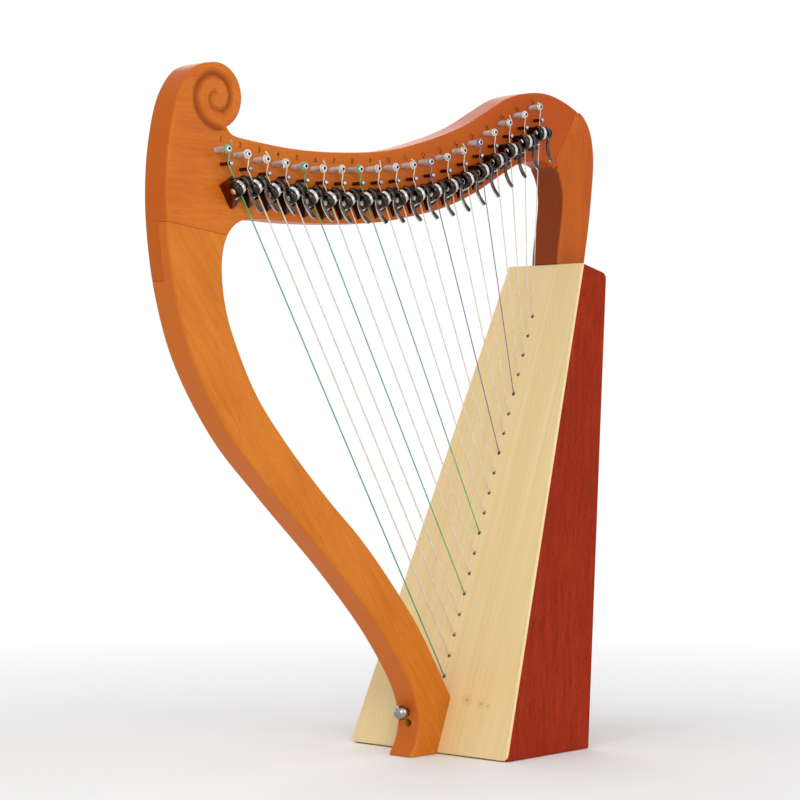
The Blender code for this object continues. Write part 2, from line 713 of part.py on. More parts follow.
bm = bmesh.new()
lowest = foot_at(BOARD_THICKNESS)
rim = []
for side in (-1, 1):
    corner = []
    for i in range(4):
        turn = math.radians(30 * i)
        across = half_width(lowest) - BOARD_CORNER * (1 - math.sin(turn))
        corner.append((lowest + BOARD_CORNER * (1 - math.cos(turn)), side * across))
    corner.append((BOARD_LENGTH, side * half_width(BOARD_LENGTH)))
    rim += corner if side < 0 else list(reversed(corner))
prism(bm, [flat_point(s, y, 0) for s, y in rim], flat_point(0, 0, BOARD_THICKNESS))
soundboard = as_object("soundboard", bm, spruce)

behind_board = BOARD_THICKNESS + JOINT_GAP
before_back = BACK_THICKNESS + JOINT_GAP
side_section = [(foot_at(behind_board), behind_board), (top_at(behind_board), behind_board),
                top_corner(before_back), foot_corner(before_back)]
for name, hand in (("side_left", -1), ("side_right", 1)):
    bm = bmesh.new()
    box_piece(bm, side_section, lambda s: hand * half_width(s),
              lambda s: hand * (half_width(s) - SIDE_THICKNESS))
    as_object(name, bm, mahogany)


def inside(s):
    return half_width(s) - SIDE_THICKNESS - JOINT_GAP


def full_width_piece(name, corners, surface, width=inside):
    piece = bmesh.new()
    box_piece(piece, corners, lambda s: -width(s), width)
    return as_object(name, piece, surface)


back_panel = full_width_piece("back_panel", [foot_corner(BACK_THICKNESS), top_corner(BACK_THICKNESS),
                                             top_corner(0), foot_corner(0)], back_wood, half_width)
full_width_piece("bottom_panel", [(foot_at(behind_board), behind_board),
                                  (foot_at(behind_board, BOTTOM_THICKNESS), behind_board),
                                  foot_corner(before_back, BOTTOM_THICKNESS),
                                  foot_corner(before_back)], inner_wood)
block_depth = behind_board + PILLAR_BLOCK_DEPTH
block_foot = BOTTOM_THICKNESS + JOINT_GAP
pillar_block = full_width_piece("pillar_block", [(foot_at(behind_board, block_foot), behind_board),
                                                 (foot_at(behind_board, PILLAR_BLOCK_HEIGHT), behind_board),
                                                 (foot_at(block_depth, PILLAR_BLOCK_HEIGHT), block_depth),
                                                 (foot_at(block_depth, block_foot), block_depth)],
                                block_wood)
top_block = full_width_piece("top_block", [(top_at(behind_board, TOP_BLOCK_HEIGHT), behind_board),
                                           (top_at(behind_board), behind_board),
                                           top_corner(before_back),
                                           top_corner(before_back, TOP_BLOCK_HEIGHT)], block_wood)

# Sound holes in the back
back_low = box_point(foot_corner(0)[0], 0, foot_corner(0)[1])
back_high = box_point(top_corner(0)[0], 0, top_corner(0)[1])
up_back = (back_high - back_low).normalized()
out_back = Vector((up_back.z, 0, -up_back.x))
bm = bmesh.new()
hole_sides = 20
for i in range(SOUND_HOLE_COUNT):
    centre = back_low + up_back * (SOUND_HOLE_FIRST + SOUND_HOLE_PITCH * i)
    shrink = SOUND_HOLE_SHRINK ** i
    ring = []
    for j in range(hole_sides):
        angle = 2 * math.pi * j / hole_sides
        ring.append(centre - out_back * CUTTER_REACH
                    + up_back * math.sin(angle) * SOUND_HOLE_HEIGHT / 2 * shrink
                    + ACROSS * math.cos(angle) * SOUND_HOLE_WIDTH / 2 * shrink)
    prism(bm, ring, out_back * 2 * CUTTER_REACH)
combine(back_panel, as_object("sound_hole_tool", bm), 'DIFFERENCE')

# String rib behind the soundboard and the braces beside it
rib_start = foot_at(behind_board + RIB_THICKNESS, PILLAR_BLOCK_HEIGHT) + JOINT_GAP
rib_end = top_at(behind_board, TOP_BLOCK_HEIGHT) - JOINT_GAP
rib_back = behind_board + RIB_THICKNESS


def brace_place(i):
    """A place between two string holes, about evenly up the board."""
    wanted = (STRING_COUNT - 1) * (i + 1) / (BRACE_COUNT + 1)
    return hole_place(math.floor(wanted)) + (HOLE_PITCH - BRACE_WIDTH) / 2


bm = bmesh.new()
box_piece(bm, [(rib_start, behind_board), (rib_end, behind_board), (rib_end, rib_back),
               (rib_start, rib_back)], lambda s: -RIB_WIDTH / 2, lambda s: RIB_WIDTH / 2, flat_point)
string_rib = as_object("strings_and_rib", bm, inner_wood)
brace_back = behind_board + BRACE_HEIGHT
for i in range(BRACE_COUNT):
    s = brace_place(i)
    corners = [(s, behind_board), (s + BRACE_WIDTH, behind_board), (s + BRACE_WIDTH, brace_back),
               (s, brace_back)]
    bm = bmesh.new()
    box_piece(bm, corners, lambda place: -inside(place), inside, flat_point)
    combine(string_rib, as_object("brace_tool", bm), 'UNION')

# String holes through board and rib
HOLE_SIDES = 6
HOLE_PHASE = math.pi / HOLE_SIDES
bodies = []
for index in range(STRING_COUNT):
    profile = [(-3 * MM, HOLE_RADIUS), (rib_back + 2 * MM, HOLE_RADIUS)]
    bodies.append((flat_point(hole_place(index), 0, 0), UP, RIGHT, profile, HOLE_SIDES, HOLE_PHASE))
hole_tool = round_tool("string_hole_tool", bodies)
combine(soundboard, hole_tool, 'DIFFERENCE', keep=True)
combine(string_rib, hole_tool, 'DIFFERENCE')
soundboard.data.transform(stand_up)
string_rib.data.transform(stand_up)

# Strap button on the pillar's foot and the screw that holds the foot to the soundbox
steel = material("button_metal", (0.8, 0.8, 0.8), 0.12, 1.0)
screw_metal = material("screw_metal", (0.1, 0.1, 0.11), 0.35, 1.0)
FITTING_SIDES = 12
FITTING_PHASE = math.pi / FITTING_SIDES


def front_at(z):
    """The x of the pillar's front edge at a low height."""
    for a, b in zip(front, front[1:]):
        if a.y <= z <= b.y:
            return a.x + (b.x - a.x) * (z - a.y) / (b.y - a.y)
    return front[0].x


screw_face = min(front_at(SCREW_HEIGHT - SCREW_HEAD_RADIUS), front_at(SCREW_HEIGHT + SCREW_HEAD_RADIUS))
screw_seat = screw_face + SCREW_HEAD_DEPTH
board_x = SCREW_HEIGHT * FOOT_SLOPE
screw_end = board_x + behind_board / math.cos(BOARD_LEAN) + SCREW_BITE
screw_start = Vector((0, 0, SCREW_HEIGHT))
spread = 1 / math.cos(FITTING_PHASE)
wide = (SCREW_HEAD_RADIUS + JOINT_GAP) * spread
thin = (SCREW_SHANK_RADIUS + JOINT_GAP) * spread
profile = [(screw_face - CUTTER_REACH, wide), (screw_seat, wide), (screw_seat, thin),
           (screw_end + JOINT_GAP, thin)]
screw_tool = round_tool("screw_tool", [(screw_start, RIGHT, ACROSS, profile, FITTING_SIDES, FITTING_PHASE)])
combine(pillar, screw_tool, 'DIFFERENCE', keep=True)
combine(soundboard, screw_tool, 'DIFFERENCE', keep=True)
combine(pillar_block, screw_tool, 'DIFFERENCE')
bm = bmesh.new()
head = screw_seat - JOINT_GAP
profile = [(head - SCREW_HEAD_LENGTH, SCREW_HEAD_RADIUS * 0.8),
           (head - 0.75 * SCREW_HEAD_LENGTH, SCREW_HEAD_RADIUS), (head, SCREW_HEAD_RADIUS),
           (head, SCREW_SHANK_RADIUS), (screw_end - 2 * MM, SCREW_SHANK_RADIUS),
           (screw_end, 0.5 * SCREW_SHANK_RADIUS)]
turned(bm, screw_start, RIGHT, ACROSS, profile, FITTING_SIDES)
as_object("foot_screw", bm, screw_metal, smooth=True)

button_at = Vector((0, 0, BUTTON_HEIGHT))
button_face = min(front_at(BUTTON_HEIGHT - 4 * MM), front_at(BUTTON_HEIGHT + 4 * MM), front_at(BUTTON_HEIGHT))
neck_length = 1.2 * MM
ball_centre = button_face - JOINT_GAP - neck_length - BUTTON_RADIUS * 0.9
thin = (BUTTON_SHANK_RADIUS + JOINT_GAP) * spread
profile = [(button_face - CUTTER_REACH, thin), (button_face + BUTTON_SHANK_LENGTH + JOINT_GAP, thin)]
button_tool = round_tool("button_tool", [(button_at, RIGHT, ACROSS, profile, FITTING_SIDES, FITTING_PHASE)])
combine(pillar, button_tool, 'DIFFERENCE')
profile = []
for i in range(7):
    angle = math.radians(-80 + 145 * i / 6)
    profile.append((ball_centre + BUTTON_RADIUS * math.sin(angle), BUTTON_RADIUS * math.cos(angle)))
profile += [(button_face - JOINT_GAP - 0.8 * MM, 3.6 * MM), (button_face - JOINT_GAP, 3.6 * MM),
            (button_face - JOINT_GAP, BUTTON_SHANK_RADIUS),
            (button_face + BUTTON_SHANK_LENGTH, BUTTON_SHANK_RADIUS)]
bm = bmesh.new()
turned(bm, button_at, RIGHT, ACROSS, profile, FITTING_SIDES)
as_object("strap_button", bm, steel, smooth=True)

# Dowels of the half lap, of the shoulder joint and of the soundbox top
dowel_wood = material("dowel_wood", (0.62, 0.45, 0.25), 0.7)
DOWEL_SIDES = 12
lap_middle = lap_point + lap_along * LAP_WIDTH / 2 + lap_down * LAP_LENGTH / 2
joint_middle = joint_point + joint_along * JOINT_WIDTH / 2
top_middle = box_point(top_at(behind_board + TOP_DOWEL_DEPTH), 0, behind_board + TOP_DOWEL_DEPTH)
for name, centre, axis, side, hosts in (("lap_dowel", lap_middle, ACROSS, RIGHT, (neck, pillar)),
                                        ("shoulder_dowel", joint_middle, joint_out, ACROSS,
                                         (neck, shoulder_block)),
                                        ("top_dowel", top_middle, top_plane_out, ACROSS,
                                         (shoulder_block, top_block))):
    half = DOWEL_LENGTH / 2
    profile = [(-half, DOWEL_RADIUS - DOWEL_CHAMFER), (DOWEL_CHAMFER - half, DOWEL_RADIUS),
               (half - DOWEL_CHAMFER, DOWEL_RADIUS), (half, DOWEL_RADIUS - DOWEL_CHAMFER)]
    bm = bmesh.new()
    turned(bm, centre, axis, side, profile, DOWEL_SIDES)
    as_object(name, bm, dowel_wood, smooth=True)
    bore = (DOWEL_RADIUS + JOINT_GAP) / math.cos(math.pi / DOWEL_SIDES)
    profile = [(-half - JOINT_GAP, bore), (half + JOINT_GAP, bore)]
    for host in hosts:
        bodies = [(centre, axis, side, profile, DOWEL_SIDES, math.pi / DOWEL_SIDES)]
        combine(host, round_tool("dowel_tool", bodies), 'DIFFERENCE')

# Bridge pins and tuning pins
pin_steel = material("tuning_pin_metal", (0.6, 0.6, 0.62), 0.2, 1.0)
bm = bmesh.new()
for index, pin in enumerate(bridge_pins_at):
    under_head = string_y(index) - string_radius(index) - BRIDGE_HEAD_CLEAR
    profile = [(under_head - BRIDGE_HEAD_LENGTH, BRIDGE_HEAD_RADIUS), (under_head, BRIDGE_HEAD_RADIUS),
               (under_head, BRIDGE_PIN_RADIUS), (NEAR_FACE + FUSE_DEPTH, BRIDGE_PIN_RADIUS)]
    turned(bm, in_space(pin, 0), ACROSS, RIGHT, profile, BRIDGE_PIN_SIDES)
combine(neck, as_object("bridge_pins", bm), 'UNION')

pin_back = FRAME_HALF + TUNING_PIN_BACK
key = KEY_SQUARE / 2
square = [(key, key), (0, key), (-key, key), (-key, 0), (-key, -key), (0, -key), (key, -key), (key, 0)]
for index, peg in enumerate(tuning_pins_at):
    turns, pitch = winding(index)
    pin_tip = string_y(index) - COIL_OUT - pitch * turns - string_radius(index) - TUNING_PIN_PROUD
    bm = bmesh.new()
    rings = []
    for y in (pin_tip, pin_back):
        rings.append([Vector((TUNING_PIN_RADIUS * math.cos(2 * HALF_SIDE * (i + 1)), y,
                              TUNING_PIN_RADIUS * math.sin(2 * HALF_SIDE * (i + 1))))
                      for i in range(PIN_SIDES)])
    rings.append([Vector((x, pin_back + KEY_LENGTH, z)) for x, z in square])
    loft(bm, rings)
    pin = as_object(f"tuning_pin_{index + 1:02d}", bm, pin_steel, smooth=True)
    pin.location = in_space(peg, 0)

# Levers: each has a base fixed to the neck and a handle that turns on its own axle in the base
handle_metal = material("lever_handle_metal", (0.7, 0.7, 0.7), 0.18, 1.0)


def lever_matrix(index):
    """Frame of a lever on its axle: right across the string, out from the neck, down the string."""
    route, heading, run, touch = routes[index]
    up = Vector((math.cos(heading), 0, math.sin(heading)))
    across = Vector((up.z, 0, -up.x))
    drop = LEVER_DROP + FIRST_LEVER_EXTRA * LEVER_EXTRA_FADE ** index
    string_here = string_y(index) * (1 - drop / run)
    origin = in_space(touch, string_here - AXLE_OVER_STRING) - up * drop
    turn = Matrix((across, Vector((0, -1, 0)), -up)).transposed()
    return Matrix.Translation(origin) @ turn.to_4x4()


def lever_point(a, u, n):
    return Vector((a, n, u))


lever_frames = [lever_matrix(index) for index in range(STRING_COUNT)]
base_reach = max(NEAR_FACE - place.translation.y for place in lever_frames) + FUSE_DEPTH
hub_right = STRING_SLOT + HUB_THICKNESS
cheek_left = hub_right + RUNNING_GAP
cheek_right = cheek_left + CHEEK_THICKNESS
LEVER_SIDES = 9
LEVER_PHASE = math.pi / LEVER_SIDES
axle = lever_point(0, 0, 0)
down = lever_point(0, 1, 0)

# the base's wedge on the string's left, under the drum
bm = bmesh.new()
wedge = [(WEDGE_TOP, -base_reach), (WEDGE_TOP, -WEDGE_LOW), (WEDGE_END, -WEDGE_LOW - WEDGE_FALL),
         (WEDGE_END, -base_reach)]
wedge_right = -STRING_SLOT - RUNNING_GAP
prism(bm, [lever_point(WEDGE_LEFT, u, n) for u, n in wedge], RIGHT * (wedge_right - WEDGE_LEFT))
base = as_object("lever_bases", bm)
bm = bmesh.new()
drum_right = DRUM_LEFT + DRUM_LENGTH
profile = [(DRUM_LEFT, DRUM_RADIUS - DRUM_DOME), (drum_right, DRUM_RADIUS), (drum_right, BARREL_RADIUS),
           (-STRING_SLOT, BARREL_RADIUS)]
turned(bm, axle, RIGHT, down, profile, LEVER_SIDES, LEVER_PHASE)
combine(base, as_object("drum_tool", bm), 'UNION')

# the plate under the string, its fret and the cheek on the right
bm = bmesh.new()
plate = [(PLATE_TOP, -base_reach), (PLATE_TOP, -PLATE_LOW), (PLATE_END, -PLATE_LOW),
         (PLATE_END, -base_reach)]
plate_left = (WEDGE_LEFT + wedge_right) / 2
prism(bm, [lever_point(plate_left, u, n) for u, n in plate], RIGHT * (cheek_right - plate_left))
combine(base, as_object("plate_tool", bm), 'UNION')
bm = bmesh.new()
fret_foot = (PLATE_LOW + base_reach) / 2
fret = [(plate_left, -fret_foot), (plate_left, -FRET_LOW), (FRET_RIGHT - FRET_SLOPE, -FRET_LOW),
        (FRET_RIGHT, -FRET_LOW - FRET_SLOPE), (FRET_RIGHT, -fret_foot)]
prism(bm, [lever_point(a, FRET_START, n) for a, n in fret], lever_point(0, FRET_THICKNESS, 0))
combine(base, as_object("fret_tool", bm), 'UNION')
bm = bmesh.new()
cheek = [(CHEEK_HALF_FOOT, -fret_foot)]
start = -math.acos(CHEEK_HALF_FOOT / CHEEK_RADIUS)
arch_sides = 4
for i in range(arch_sides + 1):
    angle = start + (math.pi - 2 * start) * i / arch_sides
    cheek.append((CHEEK_RADIUS * math.cos(angle), CHEEK_RADIUS * math.sin(angle)))
cheek.append((-CHEEK_HALF_FOOT, -fret_foot))
prism(bm, [lever_point(cheek_left, u, n) for u, n in cheek], RIGHT * CHEEK_THICKNESS)
combine(base, as_object("cheek_tool", bm), 'UNION')

# blind bores for the axle in the drum and in the cheek
AXLE_SIDES = 6
AXLE_PHASE = math.pi / AXLE_SIDES
axle_bore = (AXLE_RADIUS + RUNNING_GAP) / math.cos(AXLE_PHASE)
arm_middle = (STRING_SLOT + hub_right) / 2
bodies = []
for first, last in ((AXLE_LEFT - RUNNING_GAP, 0), (arm_middle, AXLE_RIGHT + RUNNING_GAP)):
    bodies.append((axle, RIGHT, down, [(first, axle_bore), (last, axle_bore)], AXLE_SIDES, AXLE_PHASE))
combine(base, round_tool("axle_tool", bodies), 'DIFFERENCE')
one_base = base.data
merge_flat(one_base)
for place in lever_frames:
    copy = bpy.data.objects.new("lever_base", one_base.copy())
    scene.collection.objects.link(copy)
    copy.parent = harp
    copy.data.transform(place)
    combine(neck, copy, 'UNION')
bpy.data.objects.remove(base)
merge_flat(neck.data)

# the handle: an axle, a hub with the cam's flat side on the string, and the arm
bm = bmesh.new()
turned(bm, axle, RIGHT, down, [(AXLE_LEFT, AXLE_RADIUS), (AXLE_RIGHT, AXLE_RADIUS)], AXLE_SIDES)
handle = as_object("handle_pattern", bm, handle_metal)
bm = bmesh.new()
hub = []
for i in range(PIN_SIDES):
    angle = 2 * math.pi * i / PIN_SIDES
    hub.append((CAM_RADIUS * math.cos(angle), max(CAM_RADIUS * math.sin(angle), -CAM_FLAT)))
hub_left = RUNNING_GAP - STRING_SLOT
prism(bm, [lever_point(hub_left, u, n) for u, n in hub], RIGHT * (hub_right - hub_left))
combine(handle, as_object("hub_tool", bm), 'UNION')
bm = bmesh.new()
arm = [Vector((u, n)) * OUTLINE_UNIT for u, n in LEVER_ARM_CURVE]
rings = []
for i, spot in enumerate(arm):
    before = arm[max(0, i - 1)]
    after = arm[min(len(arm) - 1, i + 1)]
    along = (after - before).normalized()
    normal = Vector((-along.y, along.x)) * ARM_THICKNESS / 2
    half = LEVER_ARM_WIDTHS[i] * OUTLINE_UNIT / 2
    upper = spot + normal
    lower = spot - normal
    rings.append([lever_point(arm_middle - half, *lower), lever_point(arm_middle + half, *lower),
                  lever_point(arm_middle + half, *upper), lever_point(arm_middle - half, *upper)])
loft(bm, rings)
combine(handle, as_object("arm_tool", bm), 'UNION')
one_handle = handle.data
merge_flat(one_handle)
for index, place in enumerate(lever_frames):
    made = bpy.data.objects.new(f"lever_handle_{index + 1:02d}", one_handle.copy())
    scene.collection.objects.link(made)
    made.parent = harp
    made.matrix_local = place
    made.data.shade_smooth()
    made.data.set_sharp_from_angle(angle=math.radians(40))
bpy.data.objects.remove(handle)

# Strings, each one unbroken tube from its knot to its tail
clear_nylon = material("clear_string", (0.85, 0.84, 0.8), 0.2)
green_nylon = material("green_string", (0.05, 0.3, 0.09), 0.3)
violet_nylon = material("violet_string", (0.13, 0.05, 0.2), 0.3)
string_surfaces = {"clear": clear_nylon, "green": green_nylon, "violet": violet_nylon}
string_rib.data.materials.clear()
string_rib.data.materials.append(clear_nylon)
for index in range(STRING_COUNT):
    route = routes[index][0]
    colour = string_colour(index)
    name = f"string_{index + 1:02d}_{colour}"
    curve = bpy.data.curves.new(name, 'CURVE')
    curve.dimensions = '3D'
    curve.bevel_depth = 1.0
    curve.bevel_resolution = 1
    curve.use_fill_caps = True
    curve.materials.append(string_surfaces[colour])
    line = curve.splines.new('POLY')
    line.points.add(len(route) - 1)
    for point, (place, radius) in zip(line.points, route):
        point.co = (*place, 1)
        point.radius = radius
    made = bpy.data.objects.new(name, curve)
    scene.collection.objects.link(made)
    made.parent = harp
    if colour == "clear":
        depsgraph = bpy.context.evaluated_depsgraph_get()
        tube = bpy.data.meshes.new_from_object(made.evaluated_get(depsgraph))
        bpy.data.objects.remove(made)
        combine(string_rib, mesh_tool(name, tube), 'UNION')

# Printed facts of the strings: lengths and the least clear space of each winding to itself
least = []
for index, (route, heading, run, touch) in enumerate(routes):
    loop = 2 * math.pi * (TUNING_PIN_RADIUS + STRING_GAP + string_radius(index))
    points = []
    for (a, _), (b, _) in zip(route[4:], route[5:]):
        pieces = math.ceil((b - a).length * WIND_POINTS * 2 / loop)
        points += [(a + (b - a) * i / pieces, (b - a).length / pieces) for i in range(pieces)]
    points.append((route[-1][0], 0.0))
    past = 0.0
    for i in reversed(range(len(points))):
        past += points[i][1]
        if past > 3 * loop:
            break
        between = 0.0
        for j in range(i + 1, len(points)):
            between += points[j - 1][1]
            if between > loop / 3:
                least.append((points[i][0] - points[j][0]).length - 2 * string_radius(index))
lengths = [round(run / MM) for route, heading, run, touch in routes]
print("sounding lengths in mm", lengths)
print("least gap of a winding to itself in mm", round(min(least) / MM, 2))
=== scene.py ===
"""Looks of the small lever harp: woods, metals, strings, camera and light."""
import math

import bmesh
import bpy
from mathutils import Matrix, Vector


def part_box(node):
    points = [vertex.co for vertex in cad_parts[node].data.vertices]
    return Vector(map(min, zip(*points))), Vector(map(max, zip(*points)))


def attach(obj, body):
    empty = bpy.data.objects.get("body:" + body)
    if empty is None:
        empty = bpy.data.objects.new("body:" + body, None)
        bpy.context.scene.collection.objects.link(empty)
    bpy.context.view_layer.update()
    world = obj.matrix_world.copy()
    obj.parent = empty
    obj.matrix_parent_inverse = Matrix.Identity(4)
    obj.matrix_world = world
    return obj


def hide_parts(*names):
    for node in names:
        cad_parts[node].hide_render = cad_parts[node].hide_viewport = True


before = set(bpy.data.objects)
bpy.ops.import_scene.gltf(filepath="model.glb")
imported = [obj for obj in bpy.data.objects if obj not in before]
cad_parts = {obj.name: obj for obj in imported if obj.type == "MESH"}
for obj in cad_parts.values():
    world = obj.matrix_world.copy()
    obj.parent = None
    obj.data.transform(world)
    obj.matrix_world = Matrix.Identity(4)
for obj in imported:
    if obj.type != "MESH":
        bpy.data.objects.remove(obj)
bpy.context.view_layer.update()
scene = bpy.context.scene

# Shapes are drawn in millimetres in the harp's own drawing, whose x is 0 at the soundboard's foot
FIRST_PIN_X = -254.2
first_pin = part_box("tuning_pin_01")
SHIFT = (first_pin[0][0] + first_pin[1][0]) * 500 - FIRST_PIN_X
TO_WORLD = Matrix.Scale(0.001, 4) @ Matrix.Translation((SHIFT, 0, 0))


# Shader wiring: a socket with arithmetic, and one method that adds any other node
class Wire:
    def __init__(self, tree, socket):
        self.tree = tree
        self.socket = socket

    def node(self, kind, output=0, inputs=None, **settings):
        made = self.tree.nodes.new(kind)
        for name, value in settings.items():
            setattr(made, name, value)
        for name, value in (inputs or {}).items():
            if isinstance(value, Wire):
                self.tree.links.new(value.socket, made.inputs[name])
            else:
                made.inputs[name].default_value = value
        return Wire(self.tree, made.outputs[output])

    def math(self, operation, first, second=0.0):
        return self.node("ShaderNodeMath", 0, {0: first, 1: second}, operation=operation)

    def __add__(self, other):
        return self.math("ADD", self, other)

    def __sub__(self, other):
        return self.math("SUBTRACT", self, other)

    def __mul__(self, other):
        return self.math("MULTIPLY", self, other)

    __radd__ = __add__
    __rmul__ = __mul__

    def mix(self, low, high):
        """A colour between two, by this value from 0 to 1."""
        return self.node("ShaderNodeMix", 2, {0: self, 6: low, 7: high}, data_type="RGBA")

    def ramp(self, low, high, start=0.0, end=1.0):
        """This value's range low..high taken to start..end, and held there outside it."""
        return self.node("ShaderNodeMapRange", 0, {0: self, 1: low, 2: high, 3: start, 4: end})

    def scaled(self, *factors):
        return self.node("ShaderNodeMapping", 0, {"Vector": self, "Scale": factors})

    def noise(self, scale, detail=3.0, roughness=0.5, distortion=0.0):
        return self.node("ShaderNodeTexNoise", 0, {"Vector": self, "Scale": scale, "Detail": detail,
                                                   "Roughness": roughness, "Distortion": distortion})

    def along(self, axis):
        """How far this place lies along an axis."""
        return self.node("ShaderNodeVectorMath", 1, {0: self, 1: axis}, operation="DOT_PRODUCT")


def srgb(red, green, blue):
    """Screen values of 0 to 255 as the linear colour that a shader takes."""
    linear = []
    for value in (red, green, blue):
        share = value / 255
        linear.append(share / 12.92 if share <= 0.04045 else ((share + 0.055) / 1.055) ** 2.4)
    return (*linear, 1)


def new_material(name, **constants):
    """A material: its shader node and a wire of the object's coordinates."""
    made = bpy.data.materials.new(name)
    made.use_nodes = True
    tree = made.node_tree
    shader = tree.nodes["Principled BSDF"]
    for socket, value in constants.items():
        shader.inputs[socket.replace("_", " ").title().replace("Ior", "IOR")].default_value = value
    place = tree.nodes.new("ShaderNodeTexCoord")
    return made, shader, Wire(tree, place.outputs["Object"])


def drive(shader, name, wire):
    shader.id_data.links.new(wire.socket, shader.inputs[name])


def bump(shader, height, distance, strength=1.0):
    made = height.node("ShaderNodeBump", 0, {"Height": height, "Distance": distance, "Strength": strength})
    drive(shader, "Normal", made)


# Woods: satin varnish over long grain, fine pores in short dashes and a slow change of tone
def wood(name, light, dark, tilt, edge=None, grain=1.0, pores=1.0, slow=0.35, coat=0.07, rough=0.4, gloss=0.1):
    """Tilt is the grain's angle from the floor, in the plane of the strings; the edge colour is painted shade on the
    rim faces.
    """
    made, shader, place = new_material(name, coat_weight=coat, coat_roughness=0.16, specular_ior_level=gloss)
    turned = place.node("ShaderNodeMapping", 0, {"Vector": place, "Rotation": (0, tilt, 0)})
    bands = turned.scaled(5, 70, 70).noise(grain, 5, 0.6, 0.5)
    pore = turned.scaled(90, 1500, 1500).noise(1.0, 2)
    fine = turned.scaled(25, 420, 420).noise(1.0, 3)
    cloud = place.noise(11.0, 2)
    tone = (bands.ramp(0.3, 0.7) * (0.75 - slow) + cloud.ramp(0.3, 0.7) * slow
            + fine.ramp(0.35, 0.65) * 0.25 - pore.ramp(0.56, 0.7) * (0.45 * pores))
    colour = tone.mix(dark, light)
    # Painted shade: the rim faces, square to the frame's flat sides, take the darker edge colour.
    if edge is not None:
        facing = place.node("ShaderNodeNewGeometry", 1).along((0, 1, 0))
        square = facing.math("ABSOLUTE", facing).ramp(0.25, 0.9, 0.8, 0.0)
        colour = square.mix(colour, edge)
    drive(shader, "Base Color", colour)
    drive(shader, "Roughness", fine * 0.14 + (rough - 0.07))
    bump(shader, fine * 0.5 + bands * 0.5 - pore * (0.6 * pores), 0.00012, 0.6)
    return made, shader, place, colour


# The fifth colour of each frame wood is the painted shade on its rim faces.
neck_wood, shader, place, colour = wood("neck_wood", srgb(214, 124, 40), srgb(186, 90, 18), 0.02,
                                        srgb(196, 92, 14), slow=0.4)
# Darker and redder towards the right: partly the wood's own tone, partly painted shade of light falling from the left.
shade_and_tone_right = place.along((1, 0, 0)).ramp(-0.16, 0.16, 0.0, 0.9)
colour = shade_and_tone_right.mix(colour, srgb(178, 72, 10))
# Darker in the scroll's grooves: stain pooled there and painted shade.
carving = place.node("ShaderNodeAttribute", 2, {}, attribute_name="carving").ramp(0.1, 1.0, 0.0, 0.75)
drive(shader, "Base Color", carving.mix(colour, srgb(124, 46, 8)))
pillar_wood = wood("pillar_wood", srgb(216, 130, 42), srgb(192, 102, 22), -0.95, srgb(208, 106, 34), slow=0.4)[0]
shoulder_wood = wood("shoulder_wood", srgb(198, 100, 26), srgb(172, 76, 14), 1.5, srgb(118, 46, 10), slow=0.4)[0]
side_wood = wood("side_mahogany", srgb(172, 50, 8), srgb(126, 28, 4), 1.38, grain=2.4, slow=0.25,
                 pores=1.6, coat=0.0, rough=0.6, gloss=0.1)[0]
inner_wood = wood("inner_wood", srgb(206, 172, 122), srgb(176, 140, 92), 1.2, coat=0.0, rough=0.6)[0]


# Metals: fine brushing in the roughness and the normal
def metal(name, colour, roughness, grime=None, brushing=0.00001, bare=1.0):
    made, shader, place = new_material(name, metallic=bare)
    fine = place.noise(900.0, 3)
    spots = place.noise(160.0, 4)
    drive(shader, "Base Color", spots.ramp(0.4, 0.7).mix(colour, grime or colour))
    drive(shader, "Roughness", fine * 0.1 + spots * 0.08 + (roughness - 0.09))
    bump(shader, fine, brushing)
    return made


chrome = metal("chrome", srgb(226, 226, 228), 0.12, srgb(198, 198, 202))
# Bright metal: polished on the screws, saddles and frets; on the hub rims and the arms' narrow sides and tips it is
# painted highlight.
polished_and_highlight = metal("bright_metal_and_highlight", srgb(222, 218, 212), 0.16, srgb(180, 174, 166))
black_nickel = metal("black_nickel", srgb(66, 58, 54), 0.16, srgb(36, 31, 29))
arm_nickel = metal("arm_nickel", srgb(88, 83, 80), 0.2, srgb(50, 46, 44))
pin_steel = metal("pin_steel", srgb(218, 219, 222), 0.2, srgb(176, 176, 178), bare=0.3)
head_steel = metal("head_steel", srgb(176, 174, 174), 0.14, srgb(128, 124, 122))
first_wedge_brown = metal("brown_base", srgb(120, 58, 40), 0.4, srgb(92, 40, 26))
# Dark brown for the bridge pins' shafts: painted shade.
pin_shaft_shade = metal("pin_shaft_shade_brown", srgb(96, 58, 36), 0.28, srgb(58, 34, 22))
black_cap = metal("black_cap", srgb(34, 32, 33), 0.32, srgb(20, 18, 18))
# Dark steel for the foot screw and the axles; in the tuning pins' drilled ends it is painted shade.
dark_steel_and_shade = metal("dark_steel_and_shade", srgb(70, 68, 70), 0.3, srgb(46, 44, 46))


# Nylon: clear strings look milky, and the coloured ones are green and violet
def nylon(name, colour, core):
    made, shader, place = new_material(name, coat_weight=0.2, coat_roughness=0.1)
    fine = place.noise(160.0, 2)
    drive(shader, "Base Color", fine.ramp(0.35, 0.65).mix(colour, core))
    drive(shader, "Roughness", fine * 0.14 + 0.25)
    return made


clear_nylon = nylon("clear_nylon", srgb(230, 222, 208), srgb(206, 196, 180))
green_nylon = nylon("green_nylon", srgb(98, 184, 138), srgb(56, 154, 106))
violet_nylon = nylon("violet_nylon", srgb(142, 120, 158), srgb(112, 92, 136))


# Mesh helpers
def loft(bm, rings, closed_ends=True):
    rows = []
    for ring in rings:
        rows.append([bm.verts.new(point) for point in ring])
    count = len(rows[0])
    for lower, upper in zip(rows, rows[1:]):
        for i in range(count):
            j = (i + 1) % count
            bm.faces.new((lower[i], lower[j], upper[j], upper[i]))
    if closed_ends:
        bm.faces.new(list(reversed(rows[0])))
        bm.faces.new(rows[-1])


